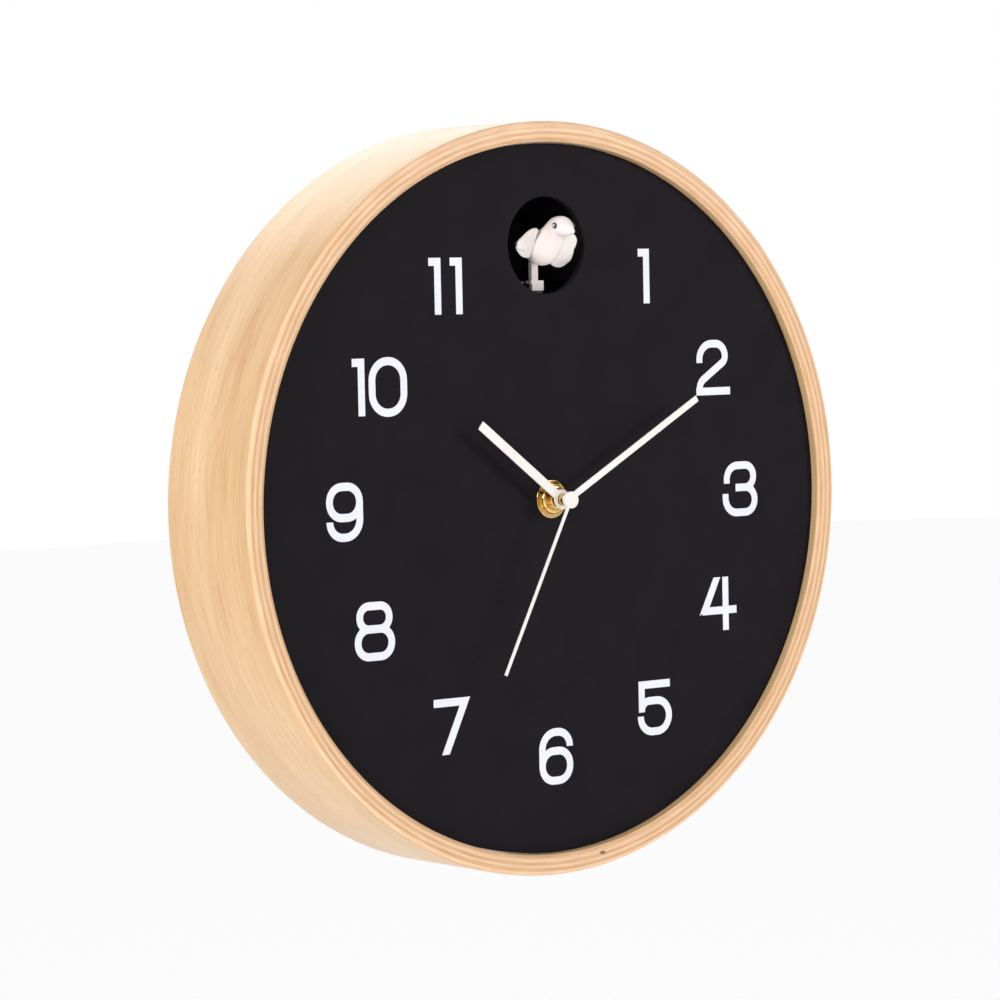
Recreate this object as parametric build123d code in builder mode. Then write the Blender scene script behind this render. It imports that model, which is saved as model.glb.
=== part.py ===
from build123d import *
import math
import os

# Round wooden wall clock with a cuckoo window.
#
# Millimetres. The origin is the centre of the case's back edge, on the axis of the hands. The wall is the
# plane y = 0, the dial faces -Y, +X is to the right of a person reading the dial, and +Z is up. Heights
# above the wall are called "out" and are positive towards the room, so a face at out = 10 is at y = -10.

os.makedirs("parts", exist_ok=True)

# ---------------------------------------------------------------------------------------------------------
# Driving dimensions
# ---------------------------------------------------------------------------------------------------------

# Case
CASE_R = 157.5
CASE_WALL = 8.8
CASE_DEPTH = 57.0
CASE_INNER_R = CASE_R - CASE_WALL
DIAL_FRONT = 52.3
DIAL_THICKNESS = 3.0
DIAL_BACK = DIAL_FRONT - DIAL_THICKNESS
DIAL_R = CASE_INNER_R - 0.3
WINDOW_AT = (0, 106)
WINDOW_R = 20.3
ARBOR_HOLE_R = 4.2

# Numerals
STROKE = 3.3
DIGIT_HEIGHT = 23.2
INK_THICKNESS = 0.12

# Hands: length from the axis, width, height above the wall of the back face, and clock angle
HAND_THICKNESS = 0.5
HOUR_HAND = {"length": 53.3, "width": 3.9, "out": 59.3, "angle": 307.5, "hub": 4.1}
MINUTE_HAND = {"length": 82.4, "width": 2.75, "out": 63.3, "angle": 61.0, "hub": 2.9}
SECOND_HAND = {"length": 79.4, "width": 1.35, "out": 65.0, "angle": 207.2, "hub": 2.0}
CAP_R = 3.5
CAP_OUT = (64.7, 66.2)

# Quartz movement
MOVEMENT_HALF = 28.0
MOVEMENT_WALL = 1.5
MOVEMENT_BACK = 31.8
MOVEMENT_FRONT = DIAL_BACK - 1.0
GEARS_FLOOR = MOVEMENT_FRONT - 1.3
PLATE_INNER = MOVEMENT_BACK + MOVEMENT_WALL
BAY_TOP = -11.3
ARBOR_ENDS = (PLATE_INNER + 0.1, GEARS_FLOOR - 0.1)
BUSH_R = 3.8
BUSH_BORE = 2.6
BUSH_FRONT = 57.1
HOUR_PIPE_R = 2.5
MINUTE_PIPE_R = 1.6
ARBOR_R = 0.5
RUNNING_FIT = 0.1

# Wheel train: axes seen from the front as (x, z), then modules from the centre distances
TRAIN_PITCH = 9.0
MOTION_PITCH = 9.6
THIRD_AT = (0.0, TRAIN_PITCH)
FIFTH_DIRECTION = 20.0
FIFTH_AT = (
    TRAIN_PITCH * math.cos(math.radians(FIFTH_DIRECTION)),
    TRAIN_PITCH * math.sin(math.radians(FIFTH_DIRECTION)),
)
ROTOR_DIRECTION = 40.0
ROTOR_PITCH = 7.84
ROTOR_AT = (
    FIFTH_AT[0] + ROTOR_PITCH * math.cos(math.radians(ROTOR_DIRECTION)),
    FIFTH_AT[1] + ROTOR_PITCH * math.sin(math.radians(ROTOR_DIRECTION)),
)
MINUTE_WHEEL_AT = (-MOTION_PITCH, 0.0)
KNOB_DIRECTION = 150.0
KNOB_AT = (
    MINUTE_WHEEL_AT[0] + MOTION_PITCH * math.cos(math.radians(KNOB_DIRECTION)),
    MOTION_PITCH * math.sin(math.radians(KNOB_DIRECTION)),
)
ROTOR_MODULE = 2 * ROTOR_PITCH / (8 + 48)
FIFTH_MODULE = 2 * TRAIN_PITCH / (8 + 40)
SECOND_MODULE = 2 * TRAIN_PITCH / (8 + 60)
THIRD_MODULE = 2 * TRAIN_PITCH / (8 + 64)
CANNON_MODULE = 2 * MOTION_PITCH / (12 + 36)
HOUR_MODULE = 2 * MOTION_PITCH / (10 + 40)

# Cuckoo unit
BOX_HALF_X = 56.0
BOX_Z = (48.0, 131.0)
BOX_WALL = 2.0
BOX_BACK = 4.5
DECK_Z = (77.0, 79.0)
CELL_BAY_FLOOR = 34.6
COVER_INNER = BOX_BACK + BOX_WALL
BOX_FRONT_INNER = DIAL_BACK - BOX_WALL
CORNER_SCREWS = [(-50.5, 82.5), (50.5, 82.5), (-50.5, 125.5), (50.5, 125.5)]
MODULE_SCREWS = [(-30, 82.5), (30, 82.5), (-30, 125.5), (30, 125.5)]
TUNNEL_HALF_X = 21.5
TUNNEL_Z = (91.0, 127.5)
TUNNEL_WALL = 1.2
SPEAKER_AT = (38.6, 106)
SPEAKER_R = 14.2
SLIDER_AT = (38.0, 85.5)
BUTTON_AT = (28.5, 85.5)

# Bird drive: gear axes are vertical and given as (x, y)
TRAVEL = 18.0
RACK_MODULE = 0.8
RACK_TEETH = 15
DRIVE_MODULE = 0.5
DRIVE_AT = (-14.0, -27.4)
REDUCTION_AT = (DRIVE_AT[0] - DRIVE_MODULE * (32 + 12) / 2, DRIVE_AT[1])
MOTOR_DIRECTION = 205.0
MOTOR_AT = (
    REDUCTION_AT[0] + DRIVE_MODULE * (32 + 10) / 2 * math.cos(math.radians(MOTOR_DIRECTION)),
    REDUCTION_AT[1] + DRIVE_MODULE * (32 + 10) / 2 * math.sin(math.radians(MOTOR_DIRECTION)),
)
SHAFT_R = 0.75
CARRIAGE_OUT = (25.9, 46.9)
CARRIAGE_Z = (80.5, 83.5)
CARRIAGE_HALF_X = 7.0
ROD_R = 0.9
ROD_X = 4.0
ROD_Z = 82.0
GEAR_PLATE_Z = (89.0, 90.4)

# Bird
POST_HALF_X = 1.7
POST_OUT = (42.3, 44.3)
FOOT_HALF_X = 3.35
FOOT_OUT = (42.6, 45.9)
FOOT_BOTTOM = 87.2
FOOT_TOP = 91.4
RISER_HALF_X = 2.6
BODY_FOOT_Z = 99.0
PUSH_ROD_AT = (0.0, -41.0)
PUSH_ROD_R = 0.8
PEG_Z = 90.6
PEG_R = 0.6
WING_DROP = 4.0
WING_HINGE_X = 6.8
WING_HINGE_MID = (-51.0, 106.0)
HINGE_TILT = math.radians(28.6)
KNUCKLE_R = 1.2
KNUCKLE_HALF = 6.0
LUG_HALF = 7.6
PIN_R = 0.45


# ---------------------------------------------------------------------------------------------------------
# Helpers: each one adds to the part that is being built, or returns a sketch
# ---------------------------------------------------------------------------------------------------------


def turned(radius, out_from, out_to, at=(0, 0), bore=0.0, mode=Mode.ADD):
    """A cylinder or tube whose axis is along Y, between two heights above the wall."""
    with BuildSketch(Plane.XZ.offset(out_from)) as section:
        with Locations(at):
            Circle(radius)
            if bore:
                Circle(bore, mode=Mode.SUBTRACT)
    extrude(section.sketch, amount=out_to - out_from, mode=mode)


def upright(radius, z_from, z_to, at=(0, 0), bore=0.0, mode=Mode.ADD):
    """A cylinder or tube whose axis is along Z, at a place given as (x, y)."""
    with BuildSketch(Plane.XY.offset(z_from)) as section:
        with Locations(at):
            Circle(radius)
            if bore:
                Circle(bore, mode=Mode.SUBTRACT)
    extrude(section.sketch, amount=z_to - z_from, mode=mode)


def block(x, z, out, mode=Mode.ADD):
    """A box given by its limits in x, in z and in height above the wall."""
    with Locations(((x[0] + x[1]) / 2, -(out[0] + out[1]) / 2, (z[0] + z[1]) / 2)):
        Box(x[1] - x[0], out[1] - out[0], z[1] - z[0], mode=mode)


def gear_outline(teeth, module, at=(0, 0), phase=0.0):
    """Corner points of a spur gear with straight flanks: root, tip, tip, root for each tooth."""
    pitch_r = module * teeth / 2
    half_tooth = 90 / teeth
    corners = (
        (pitch_r - 1.15 * module, -1.2 * half_tooth),
        (pitch_r + 0.75 * module, -0.45 * half_tooth),
        (pitch_r + 0.75 * module, 0.45 * half_tooth),
        (pitch_r - 1.15 * module, 1.2 * half_tooth),
    )
    points = []
    for tooth in range(teeth):
        for radius, swing in corners:
            angle = math.radians(phase + 360 * tooth / teeth + swing)
            points.append((at[0] + radius * math.cos(angle), at[1] + radius * math.sin(angle)))
    return points


def gear(teeth, module, plane, thickness, at=(0, 0), phase=0.0):
    """A toothed disc standing on a plane, thickened along the plane's normal."""
    with BuildSketch(plane) as section:
        with BuildLine():
            Polyline(*gear_outline(teeth, module, at, phase), close=True)
        make_face()
    extrude(section.sketch, amount=thickness)


def meshed(teeth_a, phase_a, teeth_b, direction):
    """Phase of gear b so that it meshes with gear a, where direction points from a to b in degrees."""
    part_turn = teeth_a * (direction - phase_a) / 360
    return direction + 180 - (360 / teeth_b) * (0.5 - part_turn)


def front(out):
    """Sketch plane parallel to the dial, x to the right and z up, with its normal towards the room."""
    return Plane.XZ.offset(out)


def hand_outline(length, width, angle, hub):
    """A straight baton hand pointing at a clock angle, with a round hub on the axis."""
    with BuildSketch() as outline:
        with Locations((0, length / 2)):
            Rectangle(width, length)
        Circle(hub)
    return outline.sketch.rotate(Axis.Z, -angle)


def loop_glyph(width, height, corner):
    """A closed rounded stroke, as in a nought or one bowl of an eight."""
    with BuildSketch() as glyph:
        RectangleRounded(width, height, corner)
        RectangleRounded(width - 2 * STROKE, height - 2 * STROKE, corner - STROKE, mode=Mode.SUBTRACT)
    return glyph.sketch


def stroke_glyph(*paths):
    """Strokes of even width along rounded paths, each given as (points, corner radii)."""
    with BuildSketch() as glyph:
        for points, radii in paths:
            with BuildLine() as path:
                FilletPolyline(*points, radius=radii)
            trace(path.line, STROKE)
    return glyph.sketch


# ---------------------------------------------------------------------------------------------------------
# Numerals: one sketch for each digit, centred on its own middle
# ---------------------------------------------------------------------------------------------------------

HALF = DIGIT_HEIGHT / 2
ROUND_HALF = 11.9 - STROKE / 2

with BuildSketch() as digit_1:
    with Locations((3.1 - STROKE / 2, 0)):
        Rectangle(STROKE, DIGIT_HEIGHT)
    with Locations((0, HALF - STROKE / 2)):
        Rectangle(6.2, STROKE)

with BuildSketch() as digit_2:
    with BuildLine() as swan_neck:
        FilletPolyline(
            (-7.7, 2.1), (-7.7, ROUND_HALF), (6.95, ROUND_HALF), (6.95, 2.9), (-7.75, -6.4), (-7.75, -10.2),
            radius=(6.8, 5.4, 3.4, 5.0),
        )
    trace(swan_neck.line, STROKE)
    with Locations((0, -11.9 + STROKE / 2)):
        Rectangle(19.3, STROKE)

digit_3 = stroke_glyph(
    ([(-7.6, 2.55), (-7.6, ROUND_HALF), (7.8, ROUND_HALF), (7.8, 0.6), (-2.5, 0.6)], (6.0, 4.7, 4.7)),
    ([(-2.5, 0.6), (8.45, 0.6), (8.45, -ROUND_HALF), (-8.45, -ROUND_HALF), (-8.45, -1.9)], (5.3, 5.3, 6.5)),
)

with BuildSketch() as digit_4:
    with BuildLine():
        Polyline((-2.3, HALF), (1.5, HALF), (-4.9, -1.15), (-10.65, -4.45), close=True)
    make_face()
    with Locations((0.8, -2.8)):
        Rectangle(19.7, STROKE)
    with Locations((4.4, 0)):
        Rectangle(STROKE, DIGIT_HEIGHT)

with BuildSketch() as digit_5:
    with Locations((0.0, 10.0)):
        Rectangle(17.3, STROKE)
    with Locations((-7.25, 5.0)):
        Rectangle(STROKE, 13.3)
    with BuildLine() as bowl:
        FilletPolyline(
            (-7.25, -1.2), (-7.25, 3.0), (7.9, 3.0), (7.9, -ROUND_HALF), (-7.9, -ROUND_HALF), (-7.9, -3.4),
            radius=(4.1, 6.6, 6.6, 6.4),
        )
    trace(bowl.line, STROKE)

with BuildSketch() as digit_6:
    with Locations((0, -3.95)):
        add(loop_glyph(18.2, 15.8, 7.7))
    with BuildLine() as hook:
        FilletPolyline(
            (-7.45, -3.95), (-7.45, ROUND_HALF), (7.45, ROUND_HALF), (7.45, 3.8), radius=(7.2, 6.3)
        )
    trace(hook.line, STROKE)

with BuildSketch() as digit_7:
    with BuildLine():
        Polyline((-9.45, 11.55), (9.45, 11.55), (-1.75, -11.55), (-5.65, -11.55), (4.0, 8.25), (-9.45, 8.25),
                 close=True)
    make_face()

with BuildSketch() as digit_8:
    with Locations((0, 5.6)):
        add(loop_glyph(18.1, 12.7, 6.2))
    with Locations((0, -4.7)):
        add(loop_glyph(20.2, 14.5, 7.1))

digit_0 = loop_glyph(19.3, 24.2, 9.4)
digit_9 = digit_6.sketch.rotate(Axis.Z, 180)

# Each digit with the place of its middle on the dial
NUMERALS = [
    (digit_1.sketch, (53.0, 92.5)),
    (digit_2.sketch, (91.4, 52.6)),
    (digit_3, (105.9, -0.6)),
    (digit_4.sketch, (92.0, -50.0)),
    (digit_5.sketch, (54.9, -92.0)),
    (digit_6.sketch, (0.0, -108.2)),
    (digit_7.sketch, (-54.6, -90.9)),
    (digit_8.sketch, (-93.2, -49.1)),
    (digit_9, (-106.9, -0.2)),
    (digit_1.sketch, (-98.7, 49.6)),
    (digit_0, (-83.9, 49.4)),
    (digit_1.sketch, (-59.0, 89.7)),
    (digit_1.sketch, (-48.0, 89.7)),
]


# ---------------------------------------------------------------------------------------------------------
# Case and dial
# ---------------------------------------------------------------------------------------------------------

# Hoop of laminated birch veneers with rounded edges
with BuildPart() as wood_frame:
    turned(CASE_R, 0, CASE_DEPTH, bore=CASE_INNER_R)
    fillet(wood_frame.faces().sort_by(Axis.Y)[0].edges(), 2.2)
    fillet(wood_frame.faces().sort_by(Axis.Y)[-1].edges(), 1.2)
wood_frame.part.label = "wood_frame"
export_step(wood_frame.part, "parts/wood_frame.step")

with BuildPart() as dial_plate:
    turned(DIAL_R, DIAL_BACK, DIAL_FRONT)
    turned(WINDOW_R, DIAL_BACK, DIAL_FRONT, at=WINDOW_AT, mode=Mode.SUBTRACT)
    turned(ARBOR_HOLE_R, DIAL_BACK, DIAL_FRONT, mode=Mode.SUBTRACT)
    circles = dial_plate.edges().filter_by(GeomType.CIRCLE)
    window_rim = circles.filter_by(lambda edge: abs(edge.radius - WINDOW_R) < 0.1)
    chamfer(window_rim.sort_by(Axis.Y)[0], 0.4)
dial_plate.part.label = "dial_plate"
export_step(dial_plate.part, "parts/dial_plate.step")

with BuildPart() as dial_numerals:
    with BuildSketch(front(DIAL_FRONT)):
        for digit, place in NUMERALS:
            with Locations(place):
                add(digit)
    extrude(amount=INK_THICKNESS)
dial_numerals.part.label = "dial_numerals"
export_step(dial_numerals.part, "parts/dial_numerals.step")

# Steel angle brackets that hold the dial board in the hoop
BRACKET_ANGLES = (45, 135, 225, 315)
BRACKET_STEEL = 1.5
BRACKET_REACH = (131.0, 148.4)
BRACKET_HALF_WIDTH = 7.0
BRACKET_LEG_OUT = 34.0
BRACKET_DIAL_SCREW = 138.0
BRACKET_FRAME_SCREW_OUT = 40.0

with BuildPart() as one_bracket:
    block(BRACKET_REACH, (-BRACKET_HALF_WIDTH, BRACKET_HALF_WIDTH), (DIAL_BACK - BRACKET_STEEL, DIAL_BACK))
    block(
        (BRACKET_REACH[1] - BRACKET_STEEL, BRACKET_REACH[1]),
        (-BRACKET_HALF_WIDTH, BRACKET_HALF_WIDTH),
        (BRACKET_LEG_OUT, DIAL_BACK),
    )
    turned(1.6, DIAL_BACK - BRACKET_STEEL, DIAL_BACK, at=(BRACKET_DIAL_SCREW, 0), mode=Mode.SUBTRACT)
    with Locations(Location((BRACKET_REACH[1], -BRACKET_FRAME_SCREW_OUT, 0), (0, 90, 0))):
        Cylinder(1.6, 2 * BRACKET_STEEL + 1, mode=Mode.SUBTRACT)

with BuildPart() as one_bracket_screw_pair:
    turned(3.0, DIAL_BACK - BRACKET_STEEL - 1.6, DIAL_BACK - BRACKET_STEEL, at=(BRACKET_DIAL_SCREW, 0))
    turned(1.5, DIAL_BACK - BRACKET_STEEL, DIAL_BACK + 2.2, at=(BRACKET_DIAL_SCREW, 0))
    head_x = BRACKET_REACH[1] - BRACKET_STEEL - 0.8
    with Locations(Location((head_x, -BRACKET_FRAME_SCREW_OUT, 0), (0, 90, 0))):
        Cylinder(3.0, 1.6)
    with Locations(Location((BRACKET_REACH[1] + 2.0, -BRACKET_FRAME_SCREW_OUT, 0), (0, 90, 0))):
        Cylinder(1.5, 7.0)

with BuildPart() as dial_brackets:
    for turn in BRACKET_ANGLES:
        add(one_bracket.part.rotate(Axis.Y, turn))
dial_brackets.part.label = "dial_brackets"
export_step(dial_brackets.part, "parts/dial_brackets.step")

# Keyhole hanger: a plate flush with the wall and a leg screwed up into the hoop
HANGER_HALF_X = 16.0
HANGER_Z = (132.5, 147.8)
HANGER_STEEL = 1.5
HANGER_LEG_OUT = 14.0
KEYHOLE_Z = 138.5
KEYHOLE_R = 4.5
KEYHOLE_SLOT = 4.0
KEYHOLE_TOP = 143.0
HANGER_SCREW_X = 10.0
HANGER_SCREW_OUT = 8.0

with BuildPart() as hanger_bracket:
    block((-HANGER_HALF_X, HANGER_HALF_X), HANGER_Z, (0, HANGER_STEEL))
    block((-HANGER_HALF_X, HANGER_HALF_X), (HANGER_Z[1] - HANGER_STEEL, HANGER_Z[1]), (0, HANGER_LEG_OUT))
    turned(KEYHOLE_R, 0, HANGER_STEEL, at=(0, KEYHOLE_Z), mode=Mode.SUBTRACT)
    block(
        (-KEYHOLE_SLOT / 2, KEYHOLE_SLOT / 2), (KEYHOLE_Z, KEYHOLE_TOP), (0, HANGER_STEEL), mode=Mode.SUBTRACT
    )
    turned(KEYHOLE_SLOT / 2, 0, HANGER_STEEL, at=(0, KEYHOLE_TOP), mode=Mode.SUBTRACT)
    for side in (-1, 1):
        upright(1.7, HANGER_Z[1] - HANGER_STEEL, HANGER_Z[1],
                at=(side * HANGER_SCREW_X, -HANGER_SCREW_OUT), mode=Mode.SUBTRACT)
hanger_bracket.part.label = "hanger_bracket"
export_step(hanger_bracket.part, "parts/hanger_bracket.step")

# Wood screws: two in each bracket and two in the hanger
with BuildPart() as wood_screws:
    for turn in BRACKET_ANGLES:
        add(one_bracket_screw_pair.part.rotate(Axis.Y, turn))
    for side in (-1, 1):
        at = (side * HANGER_SCREW_X, -HANGER_SCREW_OUT)
        upright(3.0, HANGER_Z[1] - HANGER_STEEL - 1.6, HANGER_Z[1] - HANGER_STEEL, at=at)
        upright(1.6, HANGER_Z[1] - HANGER_STEEL, 154.0, at=at)
wood_screws.part.label = "wood_screws"
export_step(wood_screws.part, "parts/wood_screws.step")


# ---------------------------------------------------------------------------------------------------------
# Movement mounting: bush, washers and nut
# ---------------------------------------------------------------------------------------------------------

with BuildPart() as threaded_bush:
    turned(BUSH_R, GEARS_FLOOR, BUSH_FRONT, bore=BUSH_BORE)
    turned(5.0, GEARS_FLOOR - 0.4, GEARS_FLOOR, bore=BUSH_BORE)
    chamfer(threaded_bush.edges().filter_by(GeomType.CIRCLE).sort_by(Axis.Y)[:2], 0.3)
threaded_bush.part.label = "threaded_bush"
export_step(threaded_bush.part, "parts/threaded_bush.step")

with BuildPart() as rubber_washer:
    turned(9.0, MOVEMENT_FRONT, DIAL_BACK, bore=BUSH_R + 0.05)
rubber_washer.part.label = "rubber_washer"
export_step(rubber_washer.part, "parts/rubber_washer.step")

WASHER_THICKNESS = 0.6
NUT_HEIGHT = 2.3
NUT_R = 6.3
NUT_SHOULDER = 1.4
RIM_ROUNDING = 0.25

with BuildPart() as brass_washer:
    turned(8.0, DIAL_FRONT, DIAL_FRONT + WASHER_THICKNESS, bore=BUSH_R + 0.1)
    fillet(brass_washer.edges().filter_by(GeomType.CIRCLE).group_by(SortBy.RADIUS)[-1], RIM_ROUNDING)
brass_washer.part.label = "brass_washer"
export_step(brass_washer.part, "parts/brass_washer.step")

# A round nut with a rounded shoulder
with BuildPart() as dial_nut:
    nut_back = DIAL_FRONT + WASHER_THICKNESS
    turned(NUT_R, nut_back, nut_back + NUT_HEIGHT, bore=BUSH_R + 0.02)
    fillet(dial_nut.faces().sort_by(Axis.Y)[0].outer_wire().edges(), NUT_SHOULDER)
dial_nut.part.label = "dial_nut"
export_step(dial_nut.part, "parts/dial_nut.step")


# ---------------------------------------------------------------------------------------------------------
# Quartz movement
# ---------------------------------------------------------------------------------------------------------

INSIDE = MOVEMENT_HALF - MOVEMENT_WALL
GEAR_BAY_BOTTOM = BAY_TOP + MOVEMENT_WALL

with BuildPart() as movement_case:
    with BuildSketch(front(MOVEMENT_BACK)):
        RectangleRounded(2 * MOVEMENT_HALF, 2 * MOVEMENT_HALF, 3.0)
    extrude(amount=MOVEMENT_FRONT - MOVEMENT_BACK)
    block((-INSIDE, INSIDE), (GEAR_BAY_BOTTOM, INSIDE), (MOVEMENT_BACK, GEARS_FLOOR), mode=Mode.SUBTRACT)
    block((-INSIDE, INSIDE), (-INSIDE - 0.1, BAY_TOP), (MOVEMENT_BACK, GEARS_FLOOR), mode=Mode.SUBTRACT)
    turned(BUSH_R + 0.05, GEARS_FLOOR, MOVEMENT_FRONT, mode=Mode.SUBTRACT)
movement_case.part.label = "movement_case"
export_step(movement_case.part, "parts/movement_case.step")

with BuildPart() as movement_cover:
    block((-INSIDE + 0.1, INSIDE - 0.1), (GEAR_BAY_BOTTOM + 0.1, INSIDE - 0.1), (MOVEMENT_BACK, PLATE_INNER))
    turned(1.57, MOVEMENT_BACK, PLATE_INNER, at=KNOB_AT, mode=Mode.SUBTRACT)
    for at in ((0, 0), THIRD_AT, FIFTH_AT, ROTOR_AT, MINUTE_WHEEL_AT):
        turned(0.9, MOVEMENT_BACK + 0.6, PLATE_INNER, at=at, mode=Mode.SUBTRACT)
movement_cover.part.label = "movement_cover"
export_step(movement_cover.part, "parts/movement_cover.step")

# Stepping motor: magnet rotor in a steel stator, with its coil on a bobbin
STATOR_OUT = (35.6, 36.4)
COIL_Z = 21.5
COIL_OUT = 36.8

with BuildPart() as stator:
    with BuildSketch(front(STATOR_OUT[0])):
        with Locations(ROTOR_AT):
            Circle(5.5)
        with Locations((1.9, 14.5)):
            Rectangle(20.2, 3.0)
        with Locations((-6.4, 18.25)):
            Rectangle(3.6, 10.5)
        with Locations((18.2, 15.75)):
            Rectangle(3.6, 15.5)
        with Locations(ROTOR_AT):
            Circle(3.4, mode=Mode.SUBTRACT)
    extrude(amount=STATOR_OUT[1] - STATOR_OUT[0])
stator.part.label = "stator"
export_step(stator.part, "parts/stator.step")

with BuildPart() as coil_bobbin:
    block((-8.2, 20.0), (COIL_Z - 1.5, COIL_Z + 1.5), (STATOR_OUT[1], STATOR_OUT[1] + 0.8))
    for flange_x in (-4.0, 15.0):
        with Locations(Location((flange_x + 0.5, -COIL_OUT, COIL_Z), (0, 90, 0))):
            Cylinder(3.1, 1.0)
    block((-8.2, 20.0), (COIL_Z - 3.2, COIL_Z + 3.2), (33.0, STATOR_OUT[1]), mode=Mode.SUBTRACT)
coil_bobbin.part.label = "coil_bobbin"
export_step(coil_bobbin.part, "parts/coil_bobbin.step")

with BuildPart() as drive_coil:
    with Locations(Location((6.0, -COIL_OUT, COIL_Z), (0, 90, 0))):
        Cylinder(2.5, 18.0)
    lead_space = (STATOR_OUT[1], STATOR_OUT[1] + 0.8)
    block((-3.0, 15.0), (COIL_Z - 1.5, COIL_Z + 1.5), lead_space, mode=Mode.SUBTRACT)
drive_coil.part.label = "drive_coil"
export_step(drive_coil.part, "parts/drive_coil.step")

BOARD_OUT = (34.5, 35.5)

with BuildPart() as clock_circuit_board:
    block((-26.0, -9.0), (9.5, 26.0), BOARD_OUT)
    turned(2.4, BOARD_OUT[1], BOARD_OUT[1] + 0.9, at=(-14.0, 20.0))
clock_circuit_board.part.label = "clock_circuit_board"
export_step(clock_circuit_board.part, "parts/clock_circuit_board.step")

with BuildPart() as quartz_crystal:
    with Locations(Location((-20.0, -(BOARD_OUT[1] + 1.0), 14.5), (0, 0, 0))):
        Cylinder(1.0, 6.0)
quartz_crystal.part.label = "quartz_crystal"
export_step(quartz_crystal.part, "parts/quartz_crystal.step")

# Wheels of the going train. Seen from the front, phases make each pair mesh at rest.
PINION = 8
SECOND_PHASE = 0.0
SECOND_PINION_PHASE = 0.0
THIRD_PHASE = meshed(PINION, SECOND_PINION_PHASE, 60, 90)
THIRD_PINION_PHASE = 0.0
CENTRE_PHASE = meshed(PINION, THIRD_PINION_PHASE, 64, -90)
FIFTH_PINION_PHASE = meshed(40, SECOND_PHASE, PINION, FIFTH_DIRECTION)
FIFTH_PHASE = 0.0
ROTOR_PHASE = meshed(48, FIFTH_PHASE, PINION, ROTOR_DIRECTION)
CANNON_PHASE = 0.0
MINUTE_WHEEL_PHASE = meshed(12, CANNON_PHASE, 36, 180)
MINUTE_PINION_PHASE = 0.0
HOUR_PHASE = meshed(10, MINUTE_PINION_PHASE, 40, 0)
KNOB_PHASE = meshed(36, MINUTE_WHEEL_PHASE, 12, KNOB_DIRECTION)

with BuildPart() as rotor:
    turned(0.4, *ARBOR_ENDS, at=ROTOR_AT)
    turned(3.0, 34.4, 37.8, at=ROTOR_AT)
    gear(PINION, ROTOR_MODULE, front(38.2), 1.4, ROTOR_AT, ROTOR_PHASE)
rotor.part.label = "rotor"
export_step(rotor.part, "parts/rotor.step")

with BuildPart() as fifth_wheel:
    turned(0.45, *ARBOR_ENDS, at=FIFTH_AT)
    gear(48, ROTOR_MODULE, front(38.4), 1.0, FIFTH_AT, FIFTH_PHASE)
    gear(PINION, FIFTH_MODULE, front(39.4), 1.6, FIFTH_AT, FIFTH_PINION_PHASE)
fifth_wheel.part.label = "fifth_wheel"
export_step(fifth_wheel.part, "parts/fifth_wheel.step")

with BuildPart() as second_wheel:
    turned(ARBOR_R, ARBOR_ENDS[0], SECOND_HAND["out"] + 0.3)
    gear(40, FIFTH_MODULE, front(39.8), 1.0, phase=SECOND_PHASE)
    gear(PINION, SECOND_MODULE, front(40.8), 1.6, phase=SECOND_PINION_PHASE)
second_wheel.part.label = "second_wheel"
export_step(second_wheel.part, "parts/second_wheel.step")

with BuildPart() as third_wheel:
    turned(0.45, *ARBOR_ENDS, at=THIRD_AT)
    gear(60, SECOND_MODULE, front(41.2), 1.0, THIRD_AT, THIRD_PHASE)
    gear(PINION, THIRD_MODULE, front(42.2), 1.6, THIRD_AT, THIRD_PINION_PHASE)
third_wheel.part.label = "third_wheel"
export_step(third_wheel.part, "parts/third_wheel.step")

with BuildPart() as centre_wheel:
    gear(64, THIRD_MODULE, front(42.6), 1.0, phase=CENTRE_PHASE)
    turned(1.5, 42.6, 43.8)
    turned(ARBOR_R + RUNNING_FIT, 42.6, 43.8, mode=Mode.SUBTRACT)
centre_wheel.part.label = "centre_wheel"
export_step(centre_wheel.part, "parts/centre_wheel.step")

# Motion work behind the dial: minute pipe, minute wheel, hour wheel and setting knob
COLLET_R = 2.6

with BuildPart() as minute_pipe:
    gear(12, CANNON_MODULE, front(44.0), 1.1, phase=CANNON_PHASE)
    turned(MINUTE_PIPE_R, 44.0, MINUTE_HAND["out"] + HAND_THICKNESS)
    turned(COLLET_R, HOUR_HAND["out"] + 1.2, MINUTE_HAND["out"])
    turned(ARBOR_R + RUNNING_FIT, 44.0, MINUTE_HAND["out"] + HAND_THICKNESS, mode=Mode.SUBTRACT)
minute_pipe.part.label = "minute_pipe"
export_step(minute_pipe.part, "parts/minute_pipe.step")

with BuildPart() as minute_wheel:
    turned(0.6, *ARBOR_ENDS, at=MINUTE_WHEEL_AT)
    gear(36, CANNON_MODULE, front(44.1), 0.9, MINUTE_WHEEL_AT, MINUTE_WHEEL_PHASE)
    gear(10, HOUR_MODULE, front(45.0), 1.7, MINUTE_WHEEL_AT, MINUTE_PINION_PHASE)
minute_wheel.part.label = "minute_wheel"
export_step(minute_wheel.part, "parts/minute_wheel.step")

with BuildPart() as hour_wheel:
    gear(40, HOUR_MODULE, front(45.4), 1.0, phase=HOUR_PHASE)
    turned(HOUR_PIPE_R, 45.4, HOUR_HAND["out"] + HAND_THICKNESS)
    turned(MINUTE_PIPE_R + RUNNING_FIT, 45.4, HOUR_HAND["out"] + HAND_THICKNESS, mode=Mode.SUBTRACT)
hour_wheel.part.label = "hour_wheel"
export_step(hour_wheel.part, "parts/hour_wheel.step")

KNOB_OUT = (27.5, 31.3)
KNOB_R = 5.0

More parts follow.
